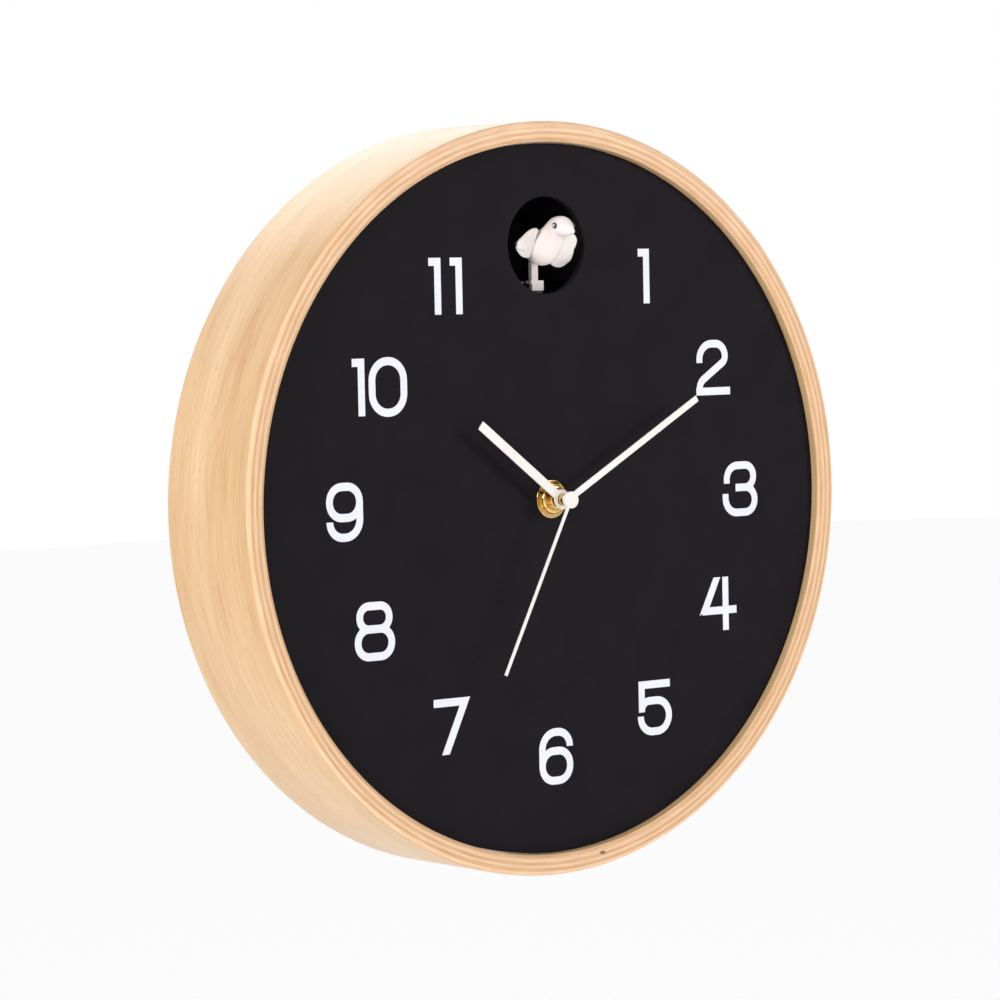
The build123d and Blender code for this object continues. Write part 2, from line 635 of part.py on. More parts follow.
with BuildPart() as setting_knob:
    turned(0.8, 45.0, ARBOR_ENDS[1], at=KNOB_AT)
    gear(12, CANNON_MODULE, front(44.1), 0.9, KNOB_AT, KNOB_PHASE)
    turned(1.5, KNOB_OUT[1], 44.1, at=KNOB_AT)
    turned(KNOB_R, *KNOB_OUT, at=KNOB_AT)
    with BuildSketch(front(KNOB_OUT[0])):
        with Locations(KNOB_AT):
            with PolarLocations(KNOB_R, 16):
                Circle(0.4)
    extrude(amount=KNOB_OUT[1] - KNOB_OUT[0], mode=Mode.SUBTRACT)
setting_knob.part.label = "setting_knob"
export_step(setting_knob.part, "parts/setting_knob.step")

# Hands
with BuildPart() as hour_hand:
    with BuildSketch(front(HOUR_HAND["out"])):
        add(hand_outline(HOUR_HAND["length"], HOUR_HAND["width"], HOUR_HAND["angle"], HOUR_HAND["hub"]))
        Circle(HOUR_PIPE_R, mode=Mode.SUBTRACT)
    extrude(amount=HAND_THICKNESS)
hour_hand.part.label = "hour_hand"
export_step(hour_hand.part, "parts/hour_hand.step")

with BuildPart() as minute_hand:
    with BuildSketch(front(MINUTE_HAND["out"])):
        add(
            hand_outline(
                MINUTE_HAND["length"], MINUTE_HAND["width"], MINUTE_HAND["angle"], MINUTE_HAND["hub"]
            )
        )
        Circle(MINUTE_PIPE_R, mode=Mode.SUBTRACT)
    extrude(amount=HAND_THICKNESS)
minute_hand.part.label = "minute_hand"
export_step(minute_hand.part, "parts/minute_hand.step")

with BuildPart() as second_hand:
    with BuildSketch(front(SECOND_HAND["out"])):
        add(
            hand_outline(
                SECOND_HAND["length"], SECOND_HAND["width"], SECOND_HAND["angle"], SECOND_HAND["hub"]
            )
        )
    extrude(amount=HAND_THICKNESS)
    turned(CAP_R, *CAP_OUT)
    fillet(second_hand.faces().sort_by(Axis.Y)[0].edges(), 0.25)
    turned(ARBOR_R, CAP_OUT[0], SECOND_HAND["out"] + 0.3, mode=Mode.SUBTRACT)
second_hand.part.label = "second_hand"
export_step(second_hand.part, "parts/second_hand.step")


# ---------------------------------------------------------------------------------------------------------
# Batteries and their contacts
# ---------------------------------------------------------------------------------------------------------


def dry_cell(radius, length, nub_r, nub_length, x_from, z, out):
    """A cylindrical cell lying along X, with its positive nub towards +X."""
    with BuildSketch(Plane.XZ.offset(out)) as half_section:
        with BuildLine():
            Polyline(
                (x_from, z),
                (x_from, z + radius - 0.8),
                (x_from + 0.8, z + radius),
                (x_from + length - nub_length - 0.8, z + radius),
                (x_from + length - nub_length, z + radius - 0.8),
                (x_from + length - nub_length, z + nub_r),
                (x_from + length, z + nub_r),
                (x_from + length, z),
                close=True,
            )
        make_face()
    revolve(half_section.sketch, axis=Axis((0, -out, z), (1, 0, 0)))


AA_Z = (BAY_TOP - INSIDE - 0.1) / 2
AA_OUT = 39.4
C_CELL_Z = (BOX_Z[0] + BOX_WALL + DECK_Z[0]) / 2
C_CELL_OUT = 21.2

with BuildPart() as aa_cell:
    dry_cell(7.25, 50.5, 2.6, 1.2, -25.0, AA_Z, AA_OUT)
aa_cell.part.label = "aa_cell"
export_step(aa_cell.part, "parts/aa_cell.step")

with BuildPart() as clock_contacts:
    block((-INSIDE, -INSIDE + 0.4), (AA_Z - 5, AA_Z + 5), (33.5, 46.0))
    block((INSIDE - 0.4, INSIDE), (AA_Z - 5, AA_Z + 5), (33.5, 46.0))
    with Locations(Location((-INSIDE + 0.9, -AA_OUT, AA_Z), (0, 90, 0))):
        Cone(2.5, 1.5, 1.0)
clock_contacts.part.label = "clock_contacts"
export_step(clock_contacts.part, "parts/clock_contacts.step")

C_CELL = {"radius": 13.1, "length": 50.0, "nub_r": 3.3, "nub_length": 1.5}

with BuildPart() as c_cell_left:
    dry_cell(*C_CELL.values(), -49.6, C_CELL_Z, C_CELL_OUT)
c_cell_left.part.label = "c_cell_left"
export_step(c_cell_left.part, "parts/c_cell_left.step")

with BuildPart() as c_cell_right:
    dry_cell(*C_CELL.values(), 0.5, C_CELL_Z, C_CELL_OUT)
c_cell_right.part.label = "c_cell_right"
export_step(c_cell_right.part, "parts/c_cell_right.step")

BAY_HALF_X = BOX_HALF_X - BOX_WALL

with BuildPart() as cell_contacts:
    block((-BAY_HALF_X, -BAY_HALF_X + 0.5), (C_CELL_Z - 9, C_CELL_Z + 9), (9.0, CELL_BAY_FLOOR))
    with Locations(Location((-BAY_HALF_X + 2.35, -C_CELL_OUT, C_CELL_Z), (0, 90, 0))):
        Cone(6.0, 3.5, 3.7)
    block((BAY_HALF_X - 0.5, BAY_HALF_X), (C_CELL_Z - 9, C_CELL_Z + 9), (9.0, CELL_BAY_FLOOR))
    with Locations(Location((BAY_HALF_X - 1.9, -C_CELL_OUT, C_CELL_Z), (0, 90, 0))):
        Cylinder(4.5, 2.8)
cell_contacts.part.label = "cell_contacts"
export_step(cell_contacts.part, "parts/cell_contacts.step")


# ---------------------------------------------------------------------------------------------------------
# Cuckoo unit: box, cover, tunnel, speaker and boards
# ---------------------------------------------------------------------------------------------------------

RAMP_X = (-5.4, -4.0)
RAMP_BOTTOM = 83.7
RAMP_BACK = 21.0
PUSH_ROD_OUT = -PUSH_ROD_AT[1]

with BuildPart() as cuckoo_case:
    block((-BOX_HALF_X, BOX_HALF_X), BOX_Z, (BOX_BACK, DIAL_BACK))
    fillet(cuckoo_case.edges().filter_by(Axis.Y), 3.0)
    inner_x = (-BAY_HALF_X, BAY_HALF_X)
    upper_z = (DECK_Z[1], BOX_Z[1] - BOX_WALL)
    lower_z = (BOX_Z[0] + BOX_WALL, DECK_Z[0])
    block(inner_x, upper_z, (BOX_BACK, BOX_FRONT_INNER), mode=Mode.SUBTRACT)
    block(inner_x, lower_z, (BOX_BACK, CELL_BAY_FLOOR), mode=Mode.SUBTRACT)
    block(inner_x, lower_z, (CELL_BAY_FLOOR + BOX_WALL, DIAL_BACK), mode=Mode.SUBTRACT)
    turned(WINDOW_R + 1.2, BOX_FRONT_INNER, DIAL_BACK, at=WINDOW_AT, mode=Mode.SUBTRACT)
    # Bosses for the cover's screws, and standoffs for the sound board
    for at in CORNER_SCREWS:
        turned(3.2, COVER_INNER, BOX_FRONT_INNER, at=at)
        turned(1.2, COVER_INNER, 15.0, at=at, mode=Mode.SUBTRACT)
    for at in ((28.0, 88.0), (43.5, 122.0)):
        turned(2.0, 39.6, BOX_FRONT_INNER, at=at)
    for at in MODULE_SCREWS:
        turned(1.5, BOX_FRONT_INNER, DIAL_BACK, at=at, mode=Mode.SUBTRACT)
    # Ramp that lets the push rod down as the bird goes in
    with BuildSketch(Plane.YZ.offset(RAMP_X[0])):
        with BuildLine():
            Polyline(
                (-BOX_FRONT_INNER, RAMP_BOTTOM),
                (-BOX_FRONT_INNER, PEG_Z - PEG_R),
                (-PUSH_ROD_OUT, PEG_Z - PEG_R - 0.1),
                (-(PUSH_ROD_OUT - TRAVEL), PEG_Z - PEG_R - WING_DROP - 0.1),
                (-RAMP_BACK, PEG_Z - PEG_R - WING_DROP - 0.1),
                (-RAMP_BACK, RAMP_BOTTOM),
                close=True,
            )
        make_face()
    extrude(amount=RAMP_X[1] - RAMP_X[0])
    # Sockets for the guide rods and gear shafts
    for side in (-1, 1):
        turned(ROD_R, BOX_FRONT_INNER, DIAL_BACK, at=(side * ROD_X, ROD_Z), mode=Mode.SUBTRACT)
    for at in (DRIVE_AT, REDUCTION_AT):
        upright(SHAFT_R, DECK_Z[0] + 0.5, DECK_Z[1], at=at, mode=Mode.SUBTRACT)
cuckoo_case.part.label = "cuckoo_case"
export_step(cuckoo_case.part, "parts/cuckoo_case.step")

SLIDER_TRAVEL = 1.5
SLIDER_STEM = (3.0, 2.4)
BUTTON_R = 2.2
GRILLE_HOLE_R = 1.0

with BuildPart() as cuckoo_cover:
    lip_z = (DECK_Z[1] + 0.1, BOX_Z[1] - BOX_WALL - 0.1)
    block((-BAY_HALF_X + 0.1, BAY_HALF_X - 0.1), lip_z, (BOX_BACK, COVER_INNER))
    for at in CORNER_SCREWS:
        turned(1.4, BOX_BACK, COVER_INNER, at=at, mode=Mode.SUBTRACT)
    with BuildSketch(front(BOX_BACK)):
        with Locations(SPEAKER_AT):
            Circle(GRILLE_HOLE_R)
            for ring_r, count in ((3.6, 6), (7.2, 12), (10.8, 18)):
                with PolarLocations(ring_r, count):
                    Circle(GRILLE_HOLE_R)
        with Locations(SLIDER_AT):
            Rectangle(SLIDER_STEM[0] + 2 * SLIDER_TRAVEL + 0.6, SLIDER_STEM[1] + 0.6)
        with Locations(BUTTON_AT):
            Circle(BUTTON_R + 0.3)
    extrude(amount=BOX_WALL, mode=Mode.SUBTRACT)
cuckoo_cover.part.label = "cuckoo_cover"
export_step(cuckoo_cover.part, "parts/cuckoo_cover.step")

with BuildPart() as cover_screws:
    for at in CORNER_SCREWS:
        turned(2.6, BOX_BACK - 1.4, BOX_BACK, at=at)
        turned(1.2, BOX_BACK, 14.0, at=at)
cover_screws.part.label = "cover_screws"
export_step(cover_screws.part, "parts/cover_screws.step")

with BuildPart() as module_screws:
    for at in MODULE_SCREWS:
        turned(2.6, BOX_FRONT_INNER - 1.4, BOX_FRONT_INNER, at=at)
        turned(1.3, BOX_FRONT_INNER, DIAL_BACK + 2.2, at=at)
module_screws.part.label = "module_screws"
export_step(module_screws.part, "parts/module_screws.step")

with BuildPart() as bird_tunnel:
    outer_x = TUNNEL_HALF_X + TUNNEL_WALL
    block((-outer_x, outer_x), (TUNNEL_Z[0], TUNNEL_Z[1] + TUNNEL_WALL), (7.0, BOX_FRONT_INNER - 0.1))
    block((-TUNNEL_HALF_X, TUNNEL_HALF_X), TUNNEL_Z, (7.0 + TUNNEL_WALL, BOX_FRONT_INNER), mode=Mode.SUBTRACT)
bird_tunnel.part.label = "bird_tunnel"
export_step(bird_tunnel.part, "parts/bird_tunnel.step")

with BuildPart() as speaker:
    with BuildSketch(Plane.XY.offset(SPEAKER_AT[1])):
        with BuildLine():
            Polyline(
                (SPEAKER_AT[0], -9.6),
                (SPEAKER_AT[0] + 4.0, -9.6),
                (SPEAKER_AT[0] + 12.0, -7.4),
                (SPEAKER_AT[0] + 12.6, -6.7),
                (SPEAKER_AT[0] + SPEAKER_R, -6.7),
                (SPEAKER_AT[0] + SPEAKER_R, -8.4),
                (SPEAKER_AT[0] + 9.0, -13.0),
                (SPEAKER_AT[0] + 8.0, -13.0),
                (SPEAKER_AT[0] + 8.0, -18.0),
                (SPEAKER_AT[0], -18.0),
                close=True,
            )
        make_face()
    revolve(axis=Axis((SPEAKER_AT[0], 0, SPEAKER_AT[1]), (0, 1, 0)))
speaker.part.label = "speaker"
export_step(speaker.part, "parts/speaker.step")

with BuildPart() as sound_board:
    block((25.0, 46.5), (82.5, 126.0), (38.0, 39.6))
    block((29.0, 37.0), (96.0, 104.0), (36.4, 38.0))
    block((39.0, 44.0), (96.0, 100.0), (36.8, 38.0))
    for at in ((29.0, 112.0), (36.0, 112.0)):
        turned(2.5, 30.5, 38.0, at=at)
sound_board.part.label = "sound_board"
export_step(sound_board.part, "parts/sound_board.step")

SWITCH_BOARD_OUT = (12.4, 13.6)

with BuildPart() as switch_board:
    block((24.0, 46.5), (81.0, 90.0), SWITCH_BOARD_OUT)
    block((SLIDER_AT[0] - 7.5, SLIDER_AT[0] + 7.5), (83.0, 88.0), (9.0, SWITCH_BOARD_OUT[0]))
    block((BUTTON_AT[0] - 3, BUTTON_AT[0] + 1.6), (82.5, 88.5), (9.4, SWITCH_BOARD_OUT[0]))
switch_board.part.label = "switch_board"
export_step(switch_board.part, "parts/switch_board.step")

with BuildPart() as volume_slider:
    with Locations((SLIDER_AT[0], -7.5, SLIDER_AT[1])):
        Box(8.0, 1.2, 5.0)
    with Locations((SLIDER_AT[0], -5.15, SLIDER_AT[1])):
        Box(SLIDER_STEM[0], 3.5, SLIDER_STEM[1])
volume_slider.part.label = "volume_slider"
export_step(volume_slider.part, "parts/volume_slider.step")

with BuildPart() as demo_button:
    turned(3.2, 6.7, 7.9, at=BUTTON_AT)
    turned(BUTTON_R, 3.0, 6.7, at=BUTTON_AT)
    fillet(demo_button.edges().filter_by(GeomType.CIRCLE).sort_by(Axis.Y)[-1], 0.5)
demo_button.part.label = "demo_button"
export_step(demo_button.part, "parts/demo_button.step")


# ---------------------------------------------------------------------------------------------------------
# Bird drive: motor, gears, rack and carriage
# ---------------------------------------------------------------------------------------------------------

RACK_PITCH = math.pi * RACK_MODULE
DRIVE_PHASE = 0.0
RACK_PINION_PHASE = 0.0
REDUCTION_PINION_PHASE = meshed(32, DRIVE_PHASE, 12, 180)
REDUCTION_PHASE = 0.0
MOTOR_PHASE = meshed(32, REDUCTION_PHASE, 10, MOTOR_DIRECTION)
SHAFT_BORE = SHAFT_R + 0.05

with BuildPart() as gear_plate:
    block((-46.0, -9.0), GEAR_PLATE_Z, (19.0, 41.0))
    for at in ((-44.0, -38.6), (-44.0, -21.4)):
        upright(2.0, DECK_Z[1], GEAR_PLATE_Z[0], at=at)
    for at in (DRIVE_AT, REDUCTION_AT):
        upright(SHAFT_R, *GEAR_PLATE_Z, at=at, mode=Mode.SUBTRACT)
    upright(1.4, *GEAR_PLATE_Z, at=MOTOR_AT, mode=Mode.SUBTRACT)
gear_plate.part.label = "gear_plate"
export_step(gear_plate.part, "parts/gear_plate.step")

with BuildPart() as gear_shafts:
    for at in (DRIVE_AT, REDUCTION_AT):
        upright(SHAFT_R, DECK_Z[0] + 0.5, GEAR_PLATE_Z[1], at=at)
gear_shafts.part.label = "gear_shafts"
export_step(gear_shafts.part, "parts/gear_shafts.step")

MOTOR_CAN = {"half_x": 10.0, "half_y": 7.5, "top": 113.0, "bore": 5.6, "base": 1.5}
ARMATURE = {"radius": 5.0, "z": (95.0, 107.0), "slot": 1.4, "neck": 1.9}
COMMUTATOR = {"radius": 2.2, "z": (107.8, 110.6)}
BEARING_TOP = MOTOR_CAN["top"] + 1.6
PINION_Z = 86.5

# The can holds its two magnets, which are drawn as its thick sides
with BuildPart() as cuckoo_motor:
    with BuildSketch(Plane.XY.offset(GEAR_PLATE_Z[1])):
        with Locations(MOTOR_AT):
            Circle(MOTOR_CAN["half_x"])
            Rectangle(2 * MOTOR_CAN["half_x"], 2 * MOTOR_CAN["half_y"], mode=Mode.INTERSECT)
    extrude(amount=MOTOR_CAN["top"] - GEAR_PLATE_Z[1])
    upright(3.0, MOTOR_CAN["top"], BEARING_TOP, at=MOTOR_AT)
    hollow_z = (GEAR_PLATE_Z[1] + MOTOR_CAN["base"], MOTOR_CAN["top"] - MOTOR_CAN["base"])
    upright(MOTOR_CAN["bore"], *hollow_z, at=MOTOR_AT, mode=Mode.SUBTRACT)
    upright(SHAFT_BORE, GEAR_PLATE_Z[1], BEARING_TOP, at=MOTOR_AT, mode=Mode.SUBTRACT)
cuckoo_motor.part.label = "cuckoo_motor"
export_step(cuckoo_motor.part, "parts/cuckoo_motor.step")

# Shaft, three-pole core and commutator
with BuildPart() as motor_armature:
    upright(ARMATURE["radius"], *ARMATURE["z"], at=MOTOR_AT)
    with BuildSketch(Plane.XY.offset(ARMATURE["z"][0])):
        with Locations(MOTOR_AT):
            with PolarLocations((ARMATURE["radius"] + ARMATURE["neck"]) / 2, 3):
                Rectangle(ARMATURE["radius"] - ARMATURE["neck"], ARMATURE["slot"])
    extrude(amount=ARMATURE["z"][1] - ARMATURE["z"][0], mode=Mode.SUBTRACT)
    upright(COMMUTATOR["radius"], *COMMUTATOR["z"], at=MOTOR_AT)
    upright(SHAFT_R, PINION_Z, BEARING_TOP - 0.4, at=MOTOR_AT)
motor_armature.part.label = "motor_armature"
export_step(motor_armature.part, "parts/motor_armature.step")

with BuildPart() as motor_pinion:
    gear(10, DRIVE_MODULE, Plane.XY.offset(PINION_Z), 2.0, MOTOR_AT, MOTOR_PHASE)
    upright(SHAFT_R, PINION_Z, PINION_Z + 2.0, at=MOTOR_AT, mode=Mode.SUBTRACT)
motor_pinion.part.label = "motor_pinion"
export_step(motor_pinion.part, "parts/motor_pinion.step")

with BuildPart() as reduction_gear:
    gear(32, DRIVE_MODULE, Plane.XY.offset(86.6), 1.8, REDUCTION_AT, REDUCTION_PHASE)
    gear(12, DRIVE_MODULE, Plane.XY.offset(84.0), 2.6, REDUCTION_AT, REDUCTION_PINION_PHASE)
    upright(SHAFT_BORE, 84.0, 88.4, at=REDUCTION_AT, mode=Mode.SUBTRACT)
reduction_gear.part.label = "reduction_gear"
export_step(reduction_gear.part, "parts/reduction_gear.step")

with BuildPart() as rack_drive_gear:
    gear(32, DRIVE_MODULE, Plane.XY.offset(84.2), 1.8, DRIVE_AT, DRIVE_PHASE)
    gear(RACK_TEETH, RACK_MODULE, Plane.XY.offset(80.6), 3.6, DRIVE_AT, RACK_PINION_PHASE)
    upright(SHAFT_BORE, 80.6, 86.0, at=DRIVE_AT, mode=Mode.SUBTRACT)
rack_drive_gear.part.label = "rack_drive_gear"
export_step(rack_drive_gear.part, "parts/rack_drive_gear.step")

with BuildPart() as guide_rods:
    for side in (-1, 1):
        turned(ROD_R, COVER_INNER + 0.1, DIAL_BACK - 0.1, at=(side * ROD_X, ROD_Z))
guide_rods.part.label = "guide_rods"
export_step(guide_rods.part, "parts/guide_rods.step")

RACK_PITCH_X = DRIVE_AT[0] + RACK_MODULE * RACK_TEETH / 2
RACK_TEETH_BACK = 8

with BuildPart() as bird_carriage:
    block((RACK_PITCH_X + 1.15 * RACK_MODULE, CARRIAGE_HALF_X), CARRIAGE_Z, CARRIAGE_OUT)
    with BuildSketch(Plane.XY.offset(CARRIAGE_Z[0])):
        for tooth in range(RACK_TEETH_BACK):
            tooth_y = DRIVE_AT[1] - (tooth - 0.5) * RACK_PITCH
            root_x = RACK_PITCH_X + 1.2 * RACK_MODULE
            tip_x = RACK_PITCH_X - 0.75 * RACK_MODULE
            with BuildLine():
                Polyline(
                    (root_x, tooth_y - 0.33 * RACK_PITCH),
                    (tip_x, tooth_y - 0.11 * RACK_PITCH),
                    (tip_x, tooth_y + 0.11 * RACK_PITCH),
                    (root_x, tooth_y + 0.33 * RACK_PITCH),
                    close=True,
                )
            make_face()
    extrude(amount=CARRIAGE_Z[1] - CARRIAGE_Z[0])
    block((-RISER_HALF_X, RISER_HALF_X), (CARRIAGE_Z[1], FOOT_BOTTOM), FOOT_OUT)
    for side in (-1, 1):
        turned(ROD_R + 0.08, *CARRIAGE_OUT, at=(side * ROD_X, ROD_Z), mode=Mode.SUBTRACT)
    upright(PUSH_ROD_R + 0.1, *CARRIAGE_Z, at=PUSH_ROD_AT, mode=Mode.SUBTRACT)
bird_carriage.part.label = "bird_carriage"
export_step(bird_carriage.part, "parts/bird_carriage.step")


# ---------------------------------------------------------------------------------------------------------
# Bird
# ---------------------------------------------------------------------------------------------------------

HINGE_UP = (0, -math.sin(HINGE_TILT), math.cos(HINGE_TILT))
WING_FACE = (0, -math.cos(HINGE_TILT), -math.sin(HINGE_TILT))


def hinge_point(side):
    """Middle of a wing's hinge line: side is 1 for the left wing, at +X, and -1 for the right one."""
    return (side * WING_HINGE_X, *WING_HINGE_MID)


def hinge_cylinder(radius, side, start, end, mode=Mode.ADD):
    """A cylinder along a wing's hinge line, between two distances from its middle."""
    base = Plane(origin=hinge_point(side), x_dir=(1, 0, 0), z_dir=HINGE_UP)
    with BuildSketch(base.offset(start)) as section:
        Circle(radius)
    extrude(section.sketch, amount=end - start, mode=mode)


with BuildPart() as bird_post:
    block((-FOOT_HALF_X, FOOT_HALF_X), (FOOT_BOTTOM, FOOT_TOP), FOOT_OUT)
    block((-POST_HALF_X, POST_HALF_X), (FOOT_TOP, BODY_FOOT_Z), POST_OUT)
bird_post.part.label = "bird_post"
export_step(bird_post.part, "parts/bird_post.step")

# Elliptical sections from the tail to the beak: y, middle z, half width, half height
BODY_SECTIONS = [
    (-32.7, 106.8, 1.9, 0.8),
    (-37.0, 106.4, 3.4, 2.2),
    (-41.0, 105.3, 4.3, 4.6),
    (-45.0, 104.6, 5.0, 6.6),
    (-50.0, 105.0, 5.3, 7.7),
    (-54.0, 106.8, 5.1, 8.0),
    (-57.5, 110.0, 4.8, 7.6),
    (-60.5, 112.6, 4.9, 5.6),
    (-64.0, 113.9, 4.6, 3.9),
    (-67.0, 113.3, 3.4, 2.7),
    (-69.3, 112.1, 2.0, 1.3),
    (-70.7, 111.4, 0.8, 0.5),
]
EYE_AT = (-63.2, 114.6)
EYE_R = 0.9
EYE_X = (3.9, 5.1)

with BuildPart() as bird_body:
    for y, z, half_width, half_height in BODY_SECTIONS:
        with BuildSketch(Plane(origin=(0, y, z), x_dir=(1, 0, 0), z_dir=(0, -1, 0))):
            Ellipse(half_width, half_height)
    loft()
    for side in (-1, 1):
        for lug in ((-LUG_HALF, -KNUCKLE_HALF - 0.2), (KNUCKLE_HALF + 0.2, LUG_HALF)):
            hinge_cylinder(1.25, side, *lug)
            with BuildSketch(
                Plane(origin=hinge_point(side), x_dir=(1, 0, 0), z_dir=HINGE_UP).offset(lug[0])
            ) as web:
                with Locations((-side * 2.5, 0)):
                    Rectangle(5.0, 2.2)
            extrude(web.sketch, amount=lug[1] - lug[0])
        hinge_cylinder(PIN_R, side, -LUG_HALF, LUG_HALF, mode=Mode.SUBTRACT)
        hinge_cylinder(KNUCKLE_R + 0.3, side, -KNUCKLE_HALF - 0.2, KNUCKLE_HALF + 0.2, mode=Mode.SUBTRACT)
        with Locations(Location((side * (EYE_X[0] + EYE_X[1]) / 2, *EYE_AT), (0, 90, 0))):
            Cylinder(EYE_R, EYE_X[1] - EYE_X[0], mode=Mode.SUBTRACT)
    block((-POST_HALF_X, POST_HALF_X), (FOOT_TOP, BODY_FOOT_Z), POST_OUT, mode=Mode.SUBTRACT)
    upright(PUSH_ROD_R + 0.1, FOOT_TOP, 101.5, at=PUSH_ROD_AT, mode=Mode.SUBTRACT)
bird_body.part.label = "bird_body"
export_step(bird_body.part, "parts/bird_body.step")

with BuildPart() as bird_eyes:
    for side in (-1, 1):
        with Locations(Location((side * (EYE_X[0] + EYE_X[1]) / 2, *EYE_AT), (0, 90, 0))):
            Cylinder(EYE_R, EYE_X[1] - EYE_X[0])
bird_eyes.part.label = "bird_eyes"
export_step(bird_eyes.part, "parts/bird_eyes.step")

WING_THICKNESS = 2.0


def wing(side):
    """A leaf-shaped wing on its knuckle: outline in the plane of the hinge line, spread sideways."""
    with BuildPart() as built:
        plane = Plane(origin=hinge_point(side), x_dir=(1, 0, 0), z_dir=WING_FACE)
        with BuildSketch(plane.offset(-WING_THICKNESS / 2)):
            with BuildLine():
                Spline(
                    (side * 1.9, 5.8), (side * 4.6, 7.0), (side * 8.2, 4.4), (side * 9.2, -0.6),
                    (side * 7.4, -5.4), (side * 4.4, -7.4), (side * 1.9, -5.8),
                )
                Polyline((side * 1.9, -5.8), (0, -5.8), (0, 5.8), (side * 1.9, 5.8))
            make_face()
        extrude(amount=WING_THICKNESS)
        hinge_cylinder(KNUCKLE_R, side, -KNUCKLE_HALF, KNUCKLE_HALF)
        hinge_cylinder(PIN_R + 0.06, side, -KNUCKLE_HALF, KNUCKLE_HALF, mode=Mode.SUBTRACT)
    return built.part


left_wing = wing(1)
left_wing.label = "left_wing"
export_step(left_wing, "parts/left_wing.step")

right_wing = wing(-1)
right_wing.label = "right_wing"
export_step(right_wing, "parts/right_wing.step")

with BuildPart() as wing_pins:
    for side in (-1, 1):
        hinge_cylinder(PIN_R, side, -LUG_HALF, LUG_HALF)
wing_pins.part.label = "wing_pins"
export_step(wing_pins.part, "parts/wing_pins.step")

with BuildPart() as wing_push_rod:
    upright(PUSH_ROD_R, 84.6, 100.5, at=PUSH_ROD_AT)
    with Locations(Location((RAMP_X[0] / 2, PUSH_ROD_AT[1], PEG_Z), (0, 90, 0))):
        Cylinder(PEG_R, -RAMP_X[0])
wing_push_rod.part.label = "wing_push_rod"
export_step(wing_push_rod.part, "parts/wing_push_rod.step")
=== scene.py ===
# %% [markdown]
# # A bent-plywood wall clock with a cuckoo
# The imported model is loaded first. It holds every piece at its true size and place, in metres: the dial faces
# -Y, +X is the reader's right and +Z is up. This lesson adds what the solids can't say: wood grain, paint,
# turned brass, moulded plastic, and a bird whose curves are modelled one by one.

# %% Load the fixed frame
import math

import bmesh
import bpy
from mathutils import Matrix, Vector


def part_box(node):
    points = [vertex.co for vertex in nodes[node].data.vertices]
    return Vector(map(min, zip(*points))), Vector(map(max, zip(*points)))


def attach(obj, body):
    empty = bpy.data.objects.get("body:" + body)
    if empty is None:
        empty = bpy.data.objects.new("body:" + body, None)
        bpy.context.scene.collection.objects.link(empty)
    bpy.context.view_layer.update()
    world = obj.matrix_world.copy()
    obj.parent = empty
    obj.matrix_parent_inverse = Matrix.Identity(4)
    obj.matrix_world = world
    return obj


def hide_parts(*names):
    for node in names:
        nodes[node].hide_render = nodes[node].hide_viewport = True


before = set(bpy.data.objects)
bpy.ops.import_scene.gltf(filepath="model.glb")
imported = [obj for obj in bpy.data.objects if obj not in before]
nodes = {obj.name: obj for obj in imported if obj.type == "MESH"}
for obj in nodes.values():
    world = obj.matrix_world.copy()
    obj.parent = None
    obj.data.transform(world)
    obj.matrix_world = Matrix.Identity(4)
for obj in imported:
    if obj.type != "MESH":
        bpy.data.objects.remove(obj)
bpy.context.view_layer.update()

# %% [markdown]
# ## Camera
# A long lens a little over one and a half metres away, to the left of the dial and slightly above it. It
# was placed so that the hoop's two ellipses and the ends of the hands keep their real proportions. A camera
# looks along its own -Z, so its matrix is built from its right, its up and its backward direction.

# %% Place the camera
CAMERA_AT = Vector((-1.0195, -1.3079, 0.0844))
RIGHT = Vector((0.78379, -0.62070, -0.02002))
UP = Vector((0.04803, 0.02845, 0.99844))
AHEAD = Vector((0.61916, 0.78353, -0.05211))
LENS_MM = 139.33
SENSOR_MM = 36
SEEN_TO = 20

bpy.ops.object.camera_add()
camera = bpy.context.object
camera.name = "camera"
camera.matrix_world = Matrix.Translation(CAMERA_AT) @ Matrix((RIGHT, UP, -AHEAD)).transposed().to_4x4()
camera.data.lens = LENS_MM
camera.data.sensor_width = SENSOR_MM
camera.data.clip_end = SEEN_TO
bpy.context.scene.camera = camera
print("camera", [round(v, 3) for v in camera.matrix_world.translation])

# %% [markdown]
# ## Studio
# A plain pale floor well below the clock, and soft light. The smallest lamp stands to the reader's right, so
# the hands' shadows fall to the left on the dial. The strongest lights the hoop's left side from above, and the
# broadest stands behind the clock. There is no backdrop: the surround is white behind the clock, and grey in
# front of it so that the black dial has nothing bright to mirror.


# %% Colours are written as sRGB hex and turned linear by one function
def tone(text):
    """The linear colour of an sRGB hex value such as C8A060."""
    parts = [int(text[i:i + 2], 16) / 255 for i in (0, 2, 4)]
    linear = [p / 12.92 if p <= 0.04045 else ((p + 0.055) / 1.055) ** 2.4 for p in parts]
    return (*linear, 1.0)


# %% Floor and lamps
FLOOR_SIZE = 30
FLOOR_Z = -1.1


def lamp(name, place, size, watts):
    """A square soft lamp that points at the clock."""
    bpy.ops.object.light_add(type="AREA", location=place)
    light = bpy.context.object
    light.name = name
    light.data.size = size
    light.data.energy = watts
    light.rotation_euler = (-Vector(place)).to_track_quat("-Z", "Y").to_euler()


lamp("key_lamp", place=(1.15, -1.45, 0.55), size=0.45, watts=9)
lamp("left_lamp", place=(-2.2, -0.5, 0.85), size=0.9, watts=34)
lamp("back_lamp", place=(0.7, 1.9, 1.3), size=1.5, watts=12)

bpy.ops.mesh.primitive_plane_add(size=FLOOR_SIZE, location=(0, 0, FLOOR_Z))
floor = bpy.context.object
floor.name = "studio_floor"

